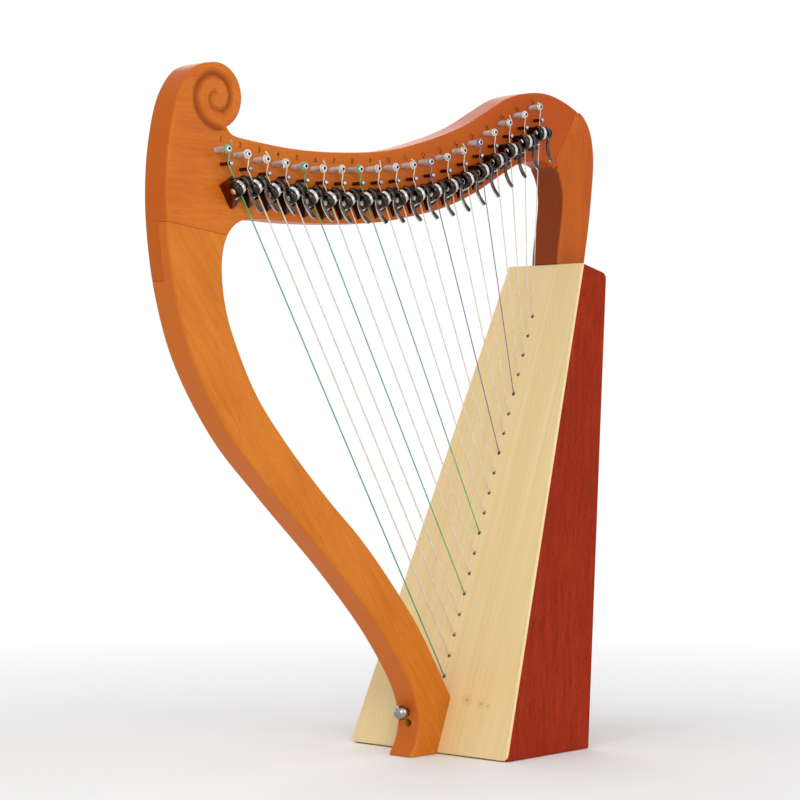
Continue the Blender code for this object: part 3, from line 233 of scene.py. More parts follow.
def turned(bm, origin, axis, side, profile, count=32):
    """A round body: (distance along the axis, radius) pairs turned round the axis."""
    along = axis.normalized()
    across = (side - along * side.dot(along)).normalized()
    other = along.cross(across)
    rings = []
    for distance, radius in profile:
        spokes = [2 * math.pi * i / count for i in range(count)]
        rings.append([origin + along * distance + (across * math.cos(t) + other * math.sin(t)) * radius
                      for t in spokes])
    loft(bm, rings)


def prism(bm, outline, offset):
    loft(bm, [outline, [point + offset for point in outline]])


def solid(name, bm, surface=None):
    """A closed mesh as an object in the drawing's millimetres."""
    bmesh.ops.recalc_face_normals(bm, faces=bm.faces)
    mesh = bpy.data.meshes.new(name)
    bm.to_mesh(mesh)
    bm.free()
    made = bpy.data.objects.new(name, mesh)
    scene.collection.objects.link(made)
    if surface is not None:
        mesh.materials.append(surface)
    return made


def bake(target):
    depsgraph = bpy.context.evaluated_depsgraph_get()
    result = bpy.data.meshes.new_from_object(target.evaluated_get(depsgraph))
    target.modifiers.clear()
    target.data = result


def closed_volume(mesh):
    """Volume of a closed mesh, or zero if it isn't closed."""
    bm = bmesh.new()
    bm.from_mesh(mesh)
    closed = all(len(edge.link_faces) == 2 for edge in bm.edges)
    volume = abs(bm.calc_volume()) if closed else 0.0
    bm.free()
    return volume


def combine(target, tool, operation):
    """Cut the tool out of the target, or join it on.

    Where edges nearly meet, the solver can lose a body. A result that isn't closed or has lost too
    much is made again with both meshes a little off their place, and moved back.
    """
    own = closed_volume(target.data)
    other = closed_volume(tool.data)
    least = own - other if operation == "DIFFERENCE" else max(own, other)
    step = Vector((0.037, 0.023, 0.031))
    for tries in range(6):
        cutter = target.modifiers.new(operation.title(), "BOOLEAN")
        cutter.operation = operation
        cutter.solver = "EXACT"
        cutter.object = tool
        depsgraph = bpy.context.evaluated_depsgraph_get()
        result = bpy.data.meshes.new_from_object(target.evaluated_get(depsgraph))
        target.modifiers.clear()
        if closed_volume(result) > 0.995 * least:
            break
        target.data.transform(Matrix.Translation(step))
        tool.data.transform(Matrix.Translation(step))
    result.transform(Matrix.Translation(-step * tries))
    target.data = result
    bpy.data.objects.remove(tool)


def soften(target, width, segments=3, angle=35):
    """Round the edges that are sharper than the angle."""
    rounding = target.modifiers.new("Bevel", "BEVEL")
    rounding.width = width
    rounding.segments = segments
    rounding.angle_limit = math.radians(angle)
    rounding.use_clamp_overlap = True
    bake(target)


def shade(target, angle=32):
    """Smooth shading up to an angle, with the flat faces kept flat."""
    target.data.shade_smooth()
    target.data.set_sharp_from_angle(angle=math.radians(angle))
    weighted = target.modifiers.new("Weighted", "WEIGHTED_NORMAL")
    weighted.keep_sharp = True
    bake(target)


def finish(target, body="harp", nodes=(), angle=32):
    """Take a piece from the drawing into the frame, on its body and in its node's place."""
    shade(target, angle)
    target.data.transform(TO_WORLD)
    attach(target, body)
    if nodes:
        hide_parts(*nodes)
    return target


def trim(bm, point, normal):
    """Remove what lies on the normal's side of a plane and close the cut."""
    parts = bm.verts[:] + bm.edges[:] + bm.faces[:]
    found = bmesh.ops.bisect_plane(bm, geom=parts, dist=1e-5, plane_co=point, plane_no=normal,
                                   clear_outer=True)
    edges = [item for item in found["geom_cut"] if isinstance(item, bmesh.types.BMEdge)]
    bmesh.ops.contextual_create(bm, geom=edges)


RIGHT = Vector((1, 0, 0))
ACROSS = Vector((0, 1, 0))
UP = Vector((0, 0, 1))


def in_space(point, y):
    return Vector((point[0], y, point[1]))


# Frame. Pillar, neck and shoulder are sawn from stained beech and shaped to one flowing outline.
# A glued half lap joins pillar and neck, and the thicker shoulder block meets the neck at a
# sloping joint and stands on the soundbox. The neck's end is carved as a scroll on both faces.
FRAME_HALF = 13.5
SHOULDER_HALF = 16
EDGE_ROUND = 3
LEAN = math.radians(20.56)
SCROLL_CENTRE = Vector((-252, 540))
SCROLL_RADIUS = 26.2
SCROLL_START = math.radians(94.4)
SCROLL_END = math.radians(-66.4)
FRONT_CURVE = [(-33.5, -12), (-32.5, 0), (-25.5, 12), (-21.5, 28), (-27.5, 52), (-60, 100), (-115, 158),
               (-185, 221.5), (-236, 271), (-276, 330), (-294.5, 380), (-303, 425), (-305.3, 465),
               (-302, 503), (-292.5, 538), (-278, 558), (-266, 563.8), (-254, 566.1)]
CREST_CURVE = [(-241.5, 516), (-236, 511), (-207, 507), (-163, 504.4), (-112, 505.8), (-59, 511.5),
               (-11.5, 523.2), (37, 540), (70, 556.8), (97, 570), (127, 576.8), (150, 577.3),
               (172, 572.5), (191, 564.5), (199, 558), (206, 547), (210, 530), (210.4, 516), (208, 492),
               (203, 458), (197, 428), (193, 408)]
INNER_CURVE = [(42, 12), (17.5, 49), (-0.5, 78), (-21, 108.5), (-52.5, 146.5), (-91, 187),
               (-130, 221.5), (-175, 265.5), (-208, 304), (-229.5, 341.5), (-241.5, 371),
               (-246.3, 400), (-244.7, 420), (-238.5, 433.5), (-227, 442.5), (-209, 445.6),
               (-164, 445.4), (-119, 446.8), (-69, 450.5), (-35, 456.5), (12, 467.5), (52, 483),
               (82, 498.5), (107, 510.8), (128, 515.6), (148, 514.2), (157.5, 509), (164, 497),
               (166, 484), (163.5, 461), (159.5, 440), (157, 408)]


def spline(points, steps=10):
    """The drawing's points joined by a centripetal curve."""
    knots = [Vector(point) for point in points]
    knots = [knots[0] * 2 - knots[1]] + knots + [knots[-1] * 2 - knots[-2]]
    dense = []
    for a, b, c, d in zip(knots, knots[1:], knots[2:], knots[3:]):
        t0 = 0.0
        t1 = t0 + math.sqrt((b - a).length)
        t2 = t1 + math.sqrt((c - b).length)
        t3 = t2 + math.sqrt((d - c).length)
        for i in range(steps):
            t = t1 + (t2 - t1) * i / steps
            ab = a * ((t1 - t) / (t1 - t0)) + b * ((t - t0) / (t1 - t0))
            bc = b * ((t2 - t) / (t2 - t1)) + c * ((t - t1) / (t2 - t1))
            cd = c * ((t3 - t) / (t3 - t2)) + d * ((t - t2) / (t3 - t2))
            abc = ab * ((t2 - t) / (t2 - t0)) + bc * ((t - t0) / (t2 - t0))
            bcd = bc * ((t3 - t) / (t3 - t1)) + cd * ((t - t1) / (t3 - t1))
            dense.append(abc * ((t2 - t) / (t2 - t1)) + bcd * ((t - t1) / (t2 - t1)))
    dense.append(knots[-2])
    return dense


def scroll_point(angle, radius=SCROLL_RADIUS):
    return SCROLL_CENTRE + Vector((math.cos(angle), math.sin(angle))) * radius


rim_angles = [SCROLL_START + (SCROLL_END - SCROLL_START) * i / 44 for i in range(1, 44)]
outline = spline(FRONT_CURVE) + [scroll_point(angle) for angle in rim_angles] + spline(CREST_CURVE)
outline += list(reversed(spline(INNER_CURVE)))
foremost = min(point.x for point in outline)
rearmost = max(point.x for point in outline)


def rounded_blank(half_thickness):
    """The frame's outline as a board with rounded rims on both faces."""
    bm = bmesh.new()
    count = len(outline)
    inward = []
    for i in range(count):
        before = (outline[i] - outline[i - 1]).normalized()
        after = (outline[(i + 1) % count] - outline[i]).normalized()
        mean = (before + after).normalized()
        inward.append(Vector((mean.y, -mean.x)) / max(0.4, mean.dot(before)))
    levels = []
    for i in range(6):
        turn = math.radians(90 - 18 * i)
        levels.append((EDGE_ROUND * (1 - math.cos(turn)), EDGE_ROUND * (1 - math.sin(turn)) - half_thickness))
    levels += [(inset, -y) for inset, y in reversed(levels)]
    rings = []
    for inset, y in levels:
        rings.append([in_space(point + side * inset, y) for point, side in zip(outline, inward)])
    loft(bm, rings)
    return bm


LAP_ANGLE = math.radians(-7)
LAP_LENGTH = 44
LAP_CHEEK = -FRAME_HALF + 0.4 * 2 * FRAME_HALF
lap_point = Vector((-308, 0, 439))
lap_along = Vector((math.cos(LAP_ANGLE), 0, math.sin(LAP_ANGLE)))
lap_down = Vector((math.sin(LAP_ANGLE), 0, -math.cos(LAP_ANGLE)))
JOINT_ANGLE = math.radians(57)
joint_point = Vector((155, 0, 515))
joint_out = Vector((math.sin(JOINT_ANGLE), 0, -math.cos(JOINT_ANGLE)))
GLUE_GAP = 0.15


def lap_step(upward):
    """A stepped block that fills all above or below the half lap."""
    sign = -1 if upward else 1
    shift = -sign * GLUE_GAP
    end = sign * 700
    corners = [(shift, -60), (end, -60), (end, 60), (LAP_LENGTH + shift, 60),
               (LAP_LENGTH + shift, LAP_CHEEK - shift), (shift, LAP_CHEEK - shift)]
    start = lap_point - lap_along * 200
    bm = bmesh.new()
    prism(bm, [start + lap_down * down + ACROSS * y for down, y in corners], lap_along * 900)
    return solid("lap_tool", bm)


INTO_BOX = Vector((math.cos(LEAN), 0, -math.sin(LEAN)))
UP_BOARD = Vector((math.sin(LEAN), 0, math.cos(LEAN)))
neck = solid("neck_look", rounded_blank(FRAME_HALF), neck_wood)
combine(neck, lap_step(False), "DIFFERENCE")
bm = bmesh.new()
bm.from_mesh(neck.data)
trim(bm, joint_point - joint_out * GLUE_GAP, joint_out)
bm.to_mesh(neck.data)
bm.free()
pillar = solid("pillar_look", rounded_blank(FRAME_HALF), pillar_wood)
combine(pillar, lap_step(True), "DIFFERENCE")
bm = bmesh.new()
bm.from_mesh(pillar.data)
trim(bm, Vector((0, 0, 0)), -UP)
trim(bm, -INTO_BOX * 0.3, INTO_BOX)
bm.to_mesh(pillar.data)
bm.free()

BOARD_LENGTH = 425 / math.cos(LEAN)
TOP_SLOPE = math.tan(math.radians(6.8))
top_plane_out = (UP_BOARD - INTO_BOX * TOP_SLOPE).normalized()
bm = rounded_blank(SHOULDER_HALF)
trim(bm, Vector((0, 0, 400)), -UP)
trim(bm, joint_point + joint_out * GLUE_GAP, -joint_out)
trim(bm, UP_BOARD * BOARD_LENGTH + top_plane_out * 0.3, -top_plane_out)
for step in (7, 9):
    parts = bm.verts[:] + bm.edges[:] + bm.faces[:]
    bmesh.ops.bisect_plane(bm, geom=parts, dist=1e-5, plane_co=joint_point + joint_out * step,
                           plane_no=joint_out)
for vert in bm.verts:
    past = (vert.co - joint_point).dot(joint_out)
    if past < 3.5:
        vert.co.y *= FRAME_HALF / SHOULDER_HALF
    elif past < 8:
        vert.co.y *= 0.985
shoulder = solid("shoulder_look", bm, shoulder_wood)

# The carved volute, on both faces: one gouged channel that winds in from the notch to a small boss.
# Its cutter is a disc whose inner side is the carved surface, and stands clear of the uncut wood.
VOLUTE_CENTRE = SCROLL_CENTRE + Vector((-0.7, -1.8))
VOLUTE_TURNS = 600 / 360


def channel_radius(turn):
    return 22.95 - 1.09 * turn - 17.46 * turn ** 2 + 6.72 * turn ** 3 + 4.4 * max(0, 1 - 6 * turn) ** 2


def gouge(x):
    """A channel's share of its full depth: rounded at the bottom and at the crest."""
    slope = 1.1 - math.sqrt(x * x + 0.015)
    return 0.5 * (slope + math.sqrt(slope * slope + 0.012)) - 0.02


def carved(angle, radius):
    """Height of the carved face over the flat one."""
    first = ((SCROLL_END - angle) / (2 * math.pi)) % 1
    turns = [first + i for i in range(3) if first + i < VOLUTE_TURNS]
    height = -0.01 - 0.14 * min(1, first * 5, (1 - first) * 3)
    if radius > channel_radius(first):
        wide = 6.6 - 2.6 * min(1, max(0, first - 0.4) * 5) + 0.8 * min(1, max(0, first - 0.65) * 5)
        past = (radius - channel_radius(first)) / wide
        height = 0.06 + max(0, past - 0.95) * 3
        return height - (2.6 * min(1, 30 * first) * gouge(past) ** (1.5 if first < 0.5 else 1.0) if past < 1.05 else 0)
    for turn in turns:
        off = channel_radius(turn) - radius
        fade = min(1, (VOLUTE_TURNS - turn) * 8, turn * 30)
        small = 1 - 0.3 * turn
        wide = (4.6 if off > 0 else 4.8) * small
        x = abs(off) / wide
        if x < 1.2:
            height -= max(0, 2.5 * small * fade * gouge(x))
    return height


for side in (-1, 1):
    bm = bmesh.new()
    rings = []
    for j in range(64):
        radius = 0.25 + 30.5 * j / 63
        ring = []
        for i in range(160):
            angle = 2 * math.pi * i / 160 - 1.1
            spot = VOLUTE_CENTRE + Vector((math.cos(angle), math.sin(angle))) * radius
            ring.append(in_space(spot, side * (FRAME_HALF + carved(angle, radius))))
        rings.append(ring)
    rings.append([in_space((spot.x, spot.z), side * (FRAME_HALF + 4)) for spot in rings[-1]])
    loft(bm, rings)
    combine(neck, solid("scroll_tool", bm), "DIFFERENCE")


def round_tool(name, bodies, count=28):
    """One cutter made of separate round bodies: (origin, axis, side, profile)."""
    bm = bmesh.new()
    for origin, axis, side, profile in bodies:
        turned(bm, origin, axis, side, profile, count)
    return solid(name, bm)


def walk_curve(points, lengths):
    """Points at the given distances along a curve, measured from its start."""
    line = spline(points, 40)
    found = []
    for wanted in lengths:
        run = 0.0
        for a, b in zip(line, line[1:]):
            piece = (b - a).length
            if run + piece >= wanted or b == line[-1]:
                found.append(a + (b - a) * ((wanted - run) / piece))
                break
            run += piece
    return found


STRINGS = 19
BRIDGE_PIN_CURVE = [(-249, 486), (-207, 480.8), (-144, 478), (-60, 484.8), (1, 496.8), (45, 513),
                    (85, 533.5), (130, 552.5)]
pitches = [20.8 + (22.6 - 20.8) * step / (STRINGS - 2) for step in range(STRINGS - 1)]
bridge_pins_at = walk_curve(BRIDGE_PIN_CURVE, [sum(pitches[:i]) for i in range(STRINGS)])
tuning_pins_at = [point + Vector((-5.2, 11)) for point in bridge_pins_at]
bores = [(in_space(peg, 0), ACROSS, RIGHT, [(-14.5, 2.9), (-13.1, 2.62), (13.1, 2.62), (14.5, 2.9)])
         for peg in tuning_pins_at]
combine(neck, round_tool("bore_tool", bores), "DIFFERENCE")
# Depth in the scroll's grooves, for their darker colour: pooled stain and painted shade.
groove_stain_and_shade_depth = neck.data.attributes.new("carving", "FLOAT", "POINT")
for vert in neck.data.vertices:
    off = Vector((vert.co.x, vert.co.z)) - VOLUTE_CENTRE
    if off.length < 26 and abs(vert.co.y) > FRAME_HALF - 2.8:
        groove_stain_and_shade_depth.data[vert.index].value = min(1, (FRAME_HALF - abs(vert.co.y) - 0.16) / 2.2)


def front_at(z):
    """The x of the pillar's front edge at a low height."""
    for a, b in zip(outline, outline[1:]):
        if a.y <= z <= b.y:
            return a.x + (b.x - a.x) * (z - a.y) / (b.y - a.y)
    return outline[0].x


SCREW_HEIGHT = 27
screw_face = min(front_at(SCREW_HEIGHT - 3.3), front_at(SCREW_HEIGHT + 3.3))
profile = [(screw_face - 20, 3.6), (screw_face + 9, 3.6), (screw_face + 9, 2.5), (60, 2.5)]
combine(pillar, round_tool("screw_tool", [(UP * SCREW_HEIGHT, RIGHT, ACROSS, profile)]), "DIFFERENCE")
finish(neck, nodes=("neck",), angle=28)
finish(pillar, nodes=("pillar",), angle=28)
finish(shoulder, nodes=("shoulder_block",), angle=28)


# Soundbox. A thin spruce soundboard is glued over mahogany sides, a back with three oval sound
# holes and two end blocks. A rib carries the strings' knots behind the board, with three braces.
BOARD_THICKNESS = 3
BEHIND_BOARD = 3.3
FOOT_SLOPE = math.tan(LEAN)
BACK_SLOPE = (35.5 - 108) / (BOARD_LENGTH + 35.5 * TOP_SLOPE - 108 * FOOT_SLOPE)
BACK_START = 108 * (1 - BACK_SLOPE * FOOT_SLOPE)


def box_point(s, y, d):
    """A place s up the soundboard, y across it and d into the box."""
    return UP_BOARD * s + ACROSS * y + INTO_BOX * d


def half_width(s):
    return 90.5 + (43.5 - 90.5) * s / BOARD_LENGTH


def foot_at(d, lift=0.0):
    return d * FOOT_SLOPE + lift / math.cos(LEAN)


def top_at(d, drop=0.0):
    return BOARD_LENGTH + d * TOP_SLOPE - drop


def back_depth(offset):
    return BACK_START - offset * math.hypot(1, BACK_SLOPE)


def foot_corner(offset, lift=0.0):
    d = (back_depth(offset) + BACK_SLOPE * lift / math.cos(LEAN)) / (1 - BACK_SLOPE * FOOT_SLOPE)
    return foot_at(d, lift), d


def top_corner(offset, drop=0.0):
    d = (back_depth(offset) + BACK_SLOPE * (BOARD_LENGTH - drop)) / (1 - BACK_SLOPE * TOP_SLOPE)
    return top_at(d, drop), d


def inside(s):
    return half_width(s) - 4.3


def box_piece(name, corners, left, right, surface):
    """A body from (s, d) corners; left and right give y for a place s."""
    bm = bmesh.new()
    loft(bm, [[box_point(s, left(s), d) for s, d in corners], [box_point(s, right(s), d) for s, d in corners]])
    return solid(name, bm, surface)


# Spruce: fine straight growth lines up the board, a slow warm change of tone, burnt string holes
FIRST_HOLE = 67.4
HOLE_PITCH = (BOARD_LENGTH - 50.6 - FIRST_HOLE) / (STRINGS - 1)
BOARD_ANGLE = math.pi / 2 - LEAN
spruce, shader, place = new_material("soundboard_spruce", coat_weight=0.22, coat_roughness=0.25)
turned_place = place.node("ShaderNodeMapping", 0, {"Vector": place, "Rotation": (0, BOARD_ANGLE, 0)})
growth = turned_place.scaled(2.5, 420, 30).noise(1.0, 4, 0.6, 0.3)
wide = turned_place.scaled(2.0, 34, 10).noise(1.0, 3, 0.5, 0.6)
fibre = turned_place.scaled(60, 1700, 300).noise(1.0, 2)
tone = growth.ramp(0.32, 0.68) * 0.5 + wide.ramp(0.3, 0.7) * 0.32 + fibre.ramp(0.35, 0.65) * 0.18
plain = tone.mix(srgb(236, 204, 142), srgb(248, 226, 170))
knot_tone = None
for s, y, size in ((48.9, -32.5, 2.4), (46.8, -49.2, 2.0), (45.8, -57.4, 1.2)):
    spot = TO_WORLD @ box_point(s, y, 0)
    off = place.node("ShaderNodeVectorMath", 0, {0: place, 1: tuple(spot)}, operation="SUBTRACT")
    reach = off.node("ShaderNodeVectorMath", 1, {0: off}, operation="LENGTH") + (fibre - 0.5) * 0.0012
    near = reach.ramp(size * 0.0002, size * 0.0008, 0.7, 0.0)
    halo = reach.ramp(size * 0.0006, size * 0.003, 0.16, 0.0)
    both = near.math("MAXIMUM", near, halo)
    knot_tone = both if knot_tone is None else both.math("MAXIMUM", both, knot_tone)
plain = knot_tone.mix(plain, srgb(150, 100, 40))
up_board = place.along(tuple(UP_BOARD)) - SHIFT * 0.001 * UP_BOARD.x - FIRST_HOLE * 0.001
step = up_board.math("PINGPONG", up_board, HOLE_PITCH * 0.0005)
in_row = up_board.ramp(-0.004, -0.003) * up_board.ramp(HOLE_PITCH * 0.018 + 0.003, HOLE_PITCH * 0.018 + 0.004, 1, 0)
sideways = place.along(tuple(ACROSS))
turn = up_board.math("FLOORED_MODULO", up_board + HOLE_PITCH * 0.0005, HOLE_PITCH * 0.001) - HOLE_PITCH * 0.0005
ring = turn.math("SQRT", turn * turn + sideways * sideways)
burnt = ring.ramp(0.0013, 0.0024, 0.85, 0.0) * in_row
drive(shader, "Base Color", burnt.mix(plain, srgb(84, 46, 20)))
drive(shader, "Roughness", fibre * 0.14 + 0.38)
bump(shader, growth * 0.5 + fibre * 0.5, 0.00008, 0.5)

rim = []
for side in (-1, 1):
    corner = []
    for i in range(9):
        turn_here = math.radians(90 * i / 8)
        across = half_width(foot_at(3)) - 5 * (1 - math.sin(turn_here))
        corner.append((foot_at(3) + 5 * (1 - math.cos(turn_here)), side * across))
    corner.append((BOARD_LENGTH, side * half_width(BOARD_LENGTH)))
    rim += corner if side < 0 else list(reversed(corner))
bm = bmesh.new()
prism(bm, [box_point(s, y, 0) for s, y in rim], INTO_BOX * BOARD_THICKNESS)
soundboard = solid("soundboard_look", bm, spruce)
soften(soundboard, 0.7, 3, 50)
holes = [(box_point(FIRST_HOLE + HOLE_PITCH * i, 0, 0), INTO_BOX, ACROSS, [(-6, 1.3), (9, 1.3)])
         for i in range(STRINGS)]
hole_tool = round_tool("hole_tool", holes, 20)
combine(soundboard, hole_tool, "DIFFERENCE")
finish(soundboard, nodes=("soundboard",))

top_round = []
for i in range(7):
    lean_here = math.radians(15 * i)
    top_round.append((5 * (1 - math.sin(lean_here)), 5 * (1 - math.cos(lean_here))))
side_corners = [(foot_at(BEHIND_BOARD), BEHIND_BOARD), (top_at(BEHIND_BOARD), BEHIND_BOARD)]
back_top = Vector(top_corner(0))
along_back = (Vector(foot_corner(0)) - back_top).normalized()
along_top = (Vector((top_at(BEHIND_BOARD), BEHIND_BOARD)) - back_top).normalized()
for over, down in top_round:
    side_corners.append(tuple(back_top + along_top * over + along_back * down))
side_corners.append(foot_corner(0))
for name, hand in (("side_left", -1), ("side_right", 1)):
    wall = box_piece(name + "_look", side_corners, lambda s: hand * half_width(s),
                     lambda s: hand * (half_width(s) - 4), side_wood)
    soften(wall, 0.8, 3, 50)
    finish(wall, nodes=(name,))

BACK_SECTION = [foot_corner(3.5), top_corner(3.5, 1.5), top_corner(0.8, 3.5), top_corner(0, 7), foot_corner(0)]
back = box_piece("back_panel_look", BACK_SECTION, lambda s: 4.05 - half_width(s),
                 lambda s: half_width(s) - 4.05, side_wood)
back_low = box_point(foot_corner(0)[0], 0, foot_corner(0)[1])
back_high = box_point(top_corner(0)[0], 0, top_corner(0)[1])
up_back = (back_high - back_low).normalized()
out_back = Vector((up_back.z, 0, -up_back.x))
for i in range(3):
    centre = back_low + up_back * (110 + 112 * i)
    ring = []
    for j in range(72):
        angle = 2 * math.pi * j / 72
        ring.append(centre - out_back * 30 + (up_back * math.sin(angle) * 31
                                              + ACROSS * math.cos(angle) * 24) * 0.78 ** i)
    bm = bmesh.new()
    prism(bm, ring, out_back * 60)
    combine(back, solid("sound_hole_tool", bm), "DIFFERENCE")
soften(back, 0.9, 3, 50)
finish(back, nodes=("back_panel",))

for name, corners in (("top_block", [(top_at(BEHIND_BOARD, 24), BEHIND_BOARD), (top_at(BEHIND_BOARD), BEHIND_BOARD),
                                     top_corner(4.2), top_corner(4.2, 24)]),
                      ("bottom_panel", [(foot_at(BEHIND_BOARD), BEHIND_BOARD),
                                        (foot_at(BEHIND_BOARD, 8), BEHIND_BOARD), foot_corner(3.8, 8),
                                        foot_corner(3.8)])):
    block = box_piece(name + "_look", corners, lambda s: -inside(s) - 0.2, lambda s: inside(s) + 0.2, side_wood)
    soften(block, 0.5, 2, 50)
    finish(block, nodes=(name,))

RIB_BACK = BEHIND_BOARD + 4
rib_start = foot_at(RIB_BACK, 50) + 0.3
rib_end = top_at(BEHIND_BOARD, 24) - 0.3
rib = box_piece("rib_look", [(rib_start, BEHIND_BOARD), (rib_end, BEHIND_BOARD), (rib_end, RIB_BACK),
                             (rib_start, RIB_BACK)], lambda s: -8, lambda s: 8, inner_wood)
soften(rib, 0.8, 2, 50)
combine(rib, round_tool("rib_hole_tool", holes, 20), "DIFFERENCE")
finish(rib, nodes=("strings_and_rib",))
for i in range(3):
    s = FIRST_HOLE + HOLE_PITCH * math.floor((STRINGS - 1) * (i + 1) / 4) + (HOLE_PITCH - 7) / 2
    for side in (-1, 1):
        bm = bmesh.new()
        rings = []
        for share, height in ((0, 9), (0.55, 9), (0.8, 6.5), (1, 3)):
            y = side * (8.05 + (inside(s) - 8.3) * share)
            rings.append([box_point(s, y, BEHIND_BOARD), box_point(s + 7, y, BEHIND_BOARD),
                          box_point(s + 7, y, BEHIND_BOARD + height - 1),
                          box_point(s + 5.5, y, BEHIND_BOARD + height),
                          box_point(s + 1.5, y, BEHIND_BOARD + height),
                          box_point(s, y, BEHIND_BOARD + height - 1)])
        loft(bm, rings)
        brace = solid(f"brace_{i + 1}_{'left' if side < 0 else 'right'}", bm, inner_wood)
        finish(brace, nodes=("strings_and_rib",), angle=50)
    bm = bmesh.new()
    prism(bm, [box_point(s, -8.1, RIB_BACK), box_point(s + 7, -8.1, RIB_BACK),
               box_point(s + 7, -8.1, BEHIND_BOARD + 8), box_point(s + 5.5, -8.1, BEHIND_BOARD + 9),
               box_point(s + 1.5, -8.1, BEHIND_BOARD + 9), box_point(s, -8.1, BEHIND_BOARD + 8)], ACROSS * 16.2)
    finish(solid(f"brace_{i + 1}_middle", bm, inner_wood), nodes=("strings_and_rib",), angle=50)
for name in ("pillar_block", "lap_dowel", "shoulder_dowel", "top_dowel"):
    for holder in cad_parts[name].material_slots:
        holder.material = inner_wood

# Foot fittings. A chromed strap button is screwed into the pillar's foot, and below it a black
# countersunk screw, deep in its hole, holds the foot to the soundbox's block.
button_face = min(front_at(32.5), front_at(36.5), front_at(40.5))
ball = button_face - 0.3 - 1.2 - 6.4 * 0.9
profile = [(ball + 6.4 * math.sin(math.radians(-89 + 154 * i / 20)),
            6.4 * math.cos(math.radians(-89 + 154 * i / 20))) for i in range(21)]
profile += [(button_face - 1.9, 2.5), (button_face - 1.3, 2.4), (button_face - 1.1, 3.2),
            (button_face - 0.9, 3.8), (button_face - 0.2, 3.9), (button_face + 0.05, 3.7),
            (button_face + 0.05, 2), (button_face + 10, 2)]
bm = bmesh.new()
turned(bm, UP * 36.5, RIGHT, ACROSS, profile, 48)
button_chrome = metal("button_chrome", srgb(168, 162, 165), 0.14, srgb(136, 130, 134))
finish(solid("strap_button_look", bm, button_chrome), nodes=("strap_button",))
head = screw_face + 8.7
profile = [(head - 2.7, 0.6), (head - 2.65, 2), (head - 2.3, 2.9), (head - 1.8, 3.3), (head, 3.3), (head, 2.2),
           (54, 2.2), (56, 1)]
bm = bmesh.new()
turned(bm, UP * SCREW_HEIGHT, RIGHT, ACROSS, profile, 36)
screw = solid("foot_screw_look", bm, dark_steel_and_shade)
for across in (ACROSS, UP):
    other = UP if across is ACROSS else ACROSS
    corner = UP * SCREW_HEIGHT + RIGHT * (head - 4) - across * 1.9 - other * 0.45
    bm = bmesh.new()
    prism(bm, [corner, corner + across * 3.8, corner + across * 3.8 + other * 0.9, corner + other * 0.9],
          RIGHT * 2.6)
    combine(screw, solid("cross_tool", bm), "DIFFERENCE")
finish(screw, nodes=("foot_screw",))


# Strings, of nylon. Each is knotted behind the rib, runs over its hole's edge, bears on its bridge
# pin's left side and winds round its tuning pin, with a short tail. Three are green, two violet.
COLOURS = {1: green_nylon, 5: green_nylon, 8: green_nylon, 12: violet_nylon, 15: violet_nylon}


def string_radius(index):
    return 0.6 - 0.2 * index / (STRINGS - 1)


def string_y(index):
    """The string's plane at its bridge pin."""
    return -24.3 + 2.6 * index / (STRINGS - 1)


def winding(index):
    """Turns on the tuning pin and their pitch."""
    return 1.05 + 0.04 * ((index * 7) % 11), 2 * string_radius(index) + 0.6


def polar(angle, radius=1.0):
    return Vector((math.cos(angle), math.sin(angle))) * radius


def string_route(index):
    """Points of one string from its knot to its tail, its heading, its length and its upper touch."""
    radius = string_radius(index)
    s = FIRST_HOLE + HOLE_PITCH * index
    start = Vector((box_point(s, 0, -0.8).x, box_point(s, 0, -0.8).z))
    pin = bridge_pins_at[index]
    peg = tuning_pins_at[index]
    pin_reach = 1.8 + radius
    peg_reach = 2.7 + radius
    to_pin = pin - start
    heading = math.atan2(to_pin.y, to_pin.x) + math.asin(pin_reach / to_pin.length)
    run = math.sqrt(to_pin.length_squared - pin_reach ** 2)
    touch = start + polar(heading, run)
    plane = string_y(index)

    # the knot, the way out through the rib and the board, and the bend over the hole's upper edge
    edge = box_point(s + 1.3, 0, 0)
    seat = 6.8 if index + 1 in COLOURS else 6.3
    knot = edge - UP_BOARD * 1.3 + INTO_BOX * (seat + 2.7)
    route = [knot + INTO_BOX * 2.2 + UP_BOARD * 4.5 + ACROSS * 2]
    for i in range(25):
        t = 2 * math.pi * (i - 1) / 25
        route.append(knot + (ACROSS * (math.sin(t) + 2 * math.sin(2 * t))
                             + UP_BOARD * (math.cos(t) - 2 * math.cos(2 * t))) * 0.52
                     - INTO_BOX * (math.sin(3 * t) * 0.8))
    clear = radius + 0.04
    route += [edge - UP_BOARD * 1.3 + INTO_BOX * (seat - 0.6), edge - UP_BOARD * clear + INTO_BOX * 1.2]
    away = in_space((-math.sin(heading), math.cos(heading)), 0)
    for i in range(6):
        side = (-UP_BOARD * (1 - i / 5) + away * (i / 5)).normalized()
        route.append(edge + side * clear)

    # the straight part, then clockwise round the bridge pin and across to the tuning pin
    to_peg = peg - pin
    cross = math.atan2(to_peg.y, to_peg.x) - math.asin((pin_reach + peg_reach) / to_peg.length)
    for i in range(6):
        angle = heading + (cross - heading) * i / 5 + math.pi / 2
        route.append(in_space(pin + polar(angle, pin_reach - 0.22), plane))
    turns, pitch = winding(index)
    points = math.ceil(turns * 24)
    for i in range(points + 1):
        turn = turns * i / points
        spot = peg + polar(cross - math.pi / 2 + 2 * math.pi * turn, peg_reach - 0.25)
        route.append(in_space(spot, plane - 1.8 - pitch * turn))
    leave = cross + 2 * math.pi * turns
    last = route[-1]
    tail = Vector((math.cos(leave), -0.25, math.sin(leave))).normalized()
    route += [last + tail * reach for reach in (1, 3.5, 6)]
    return route, heading, run, touch


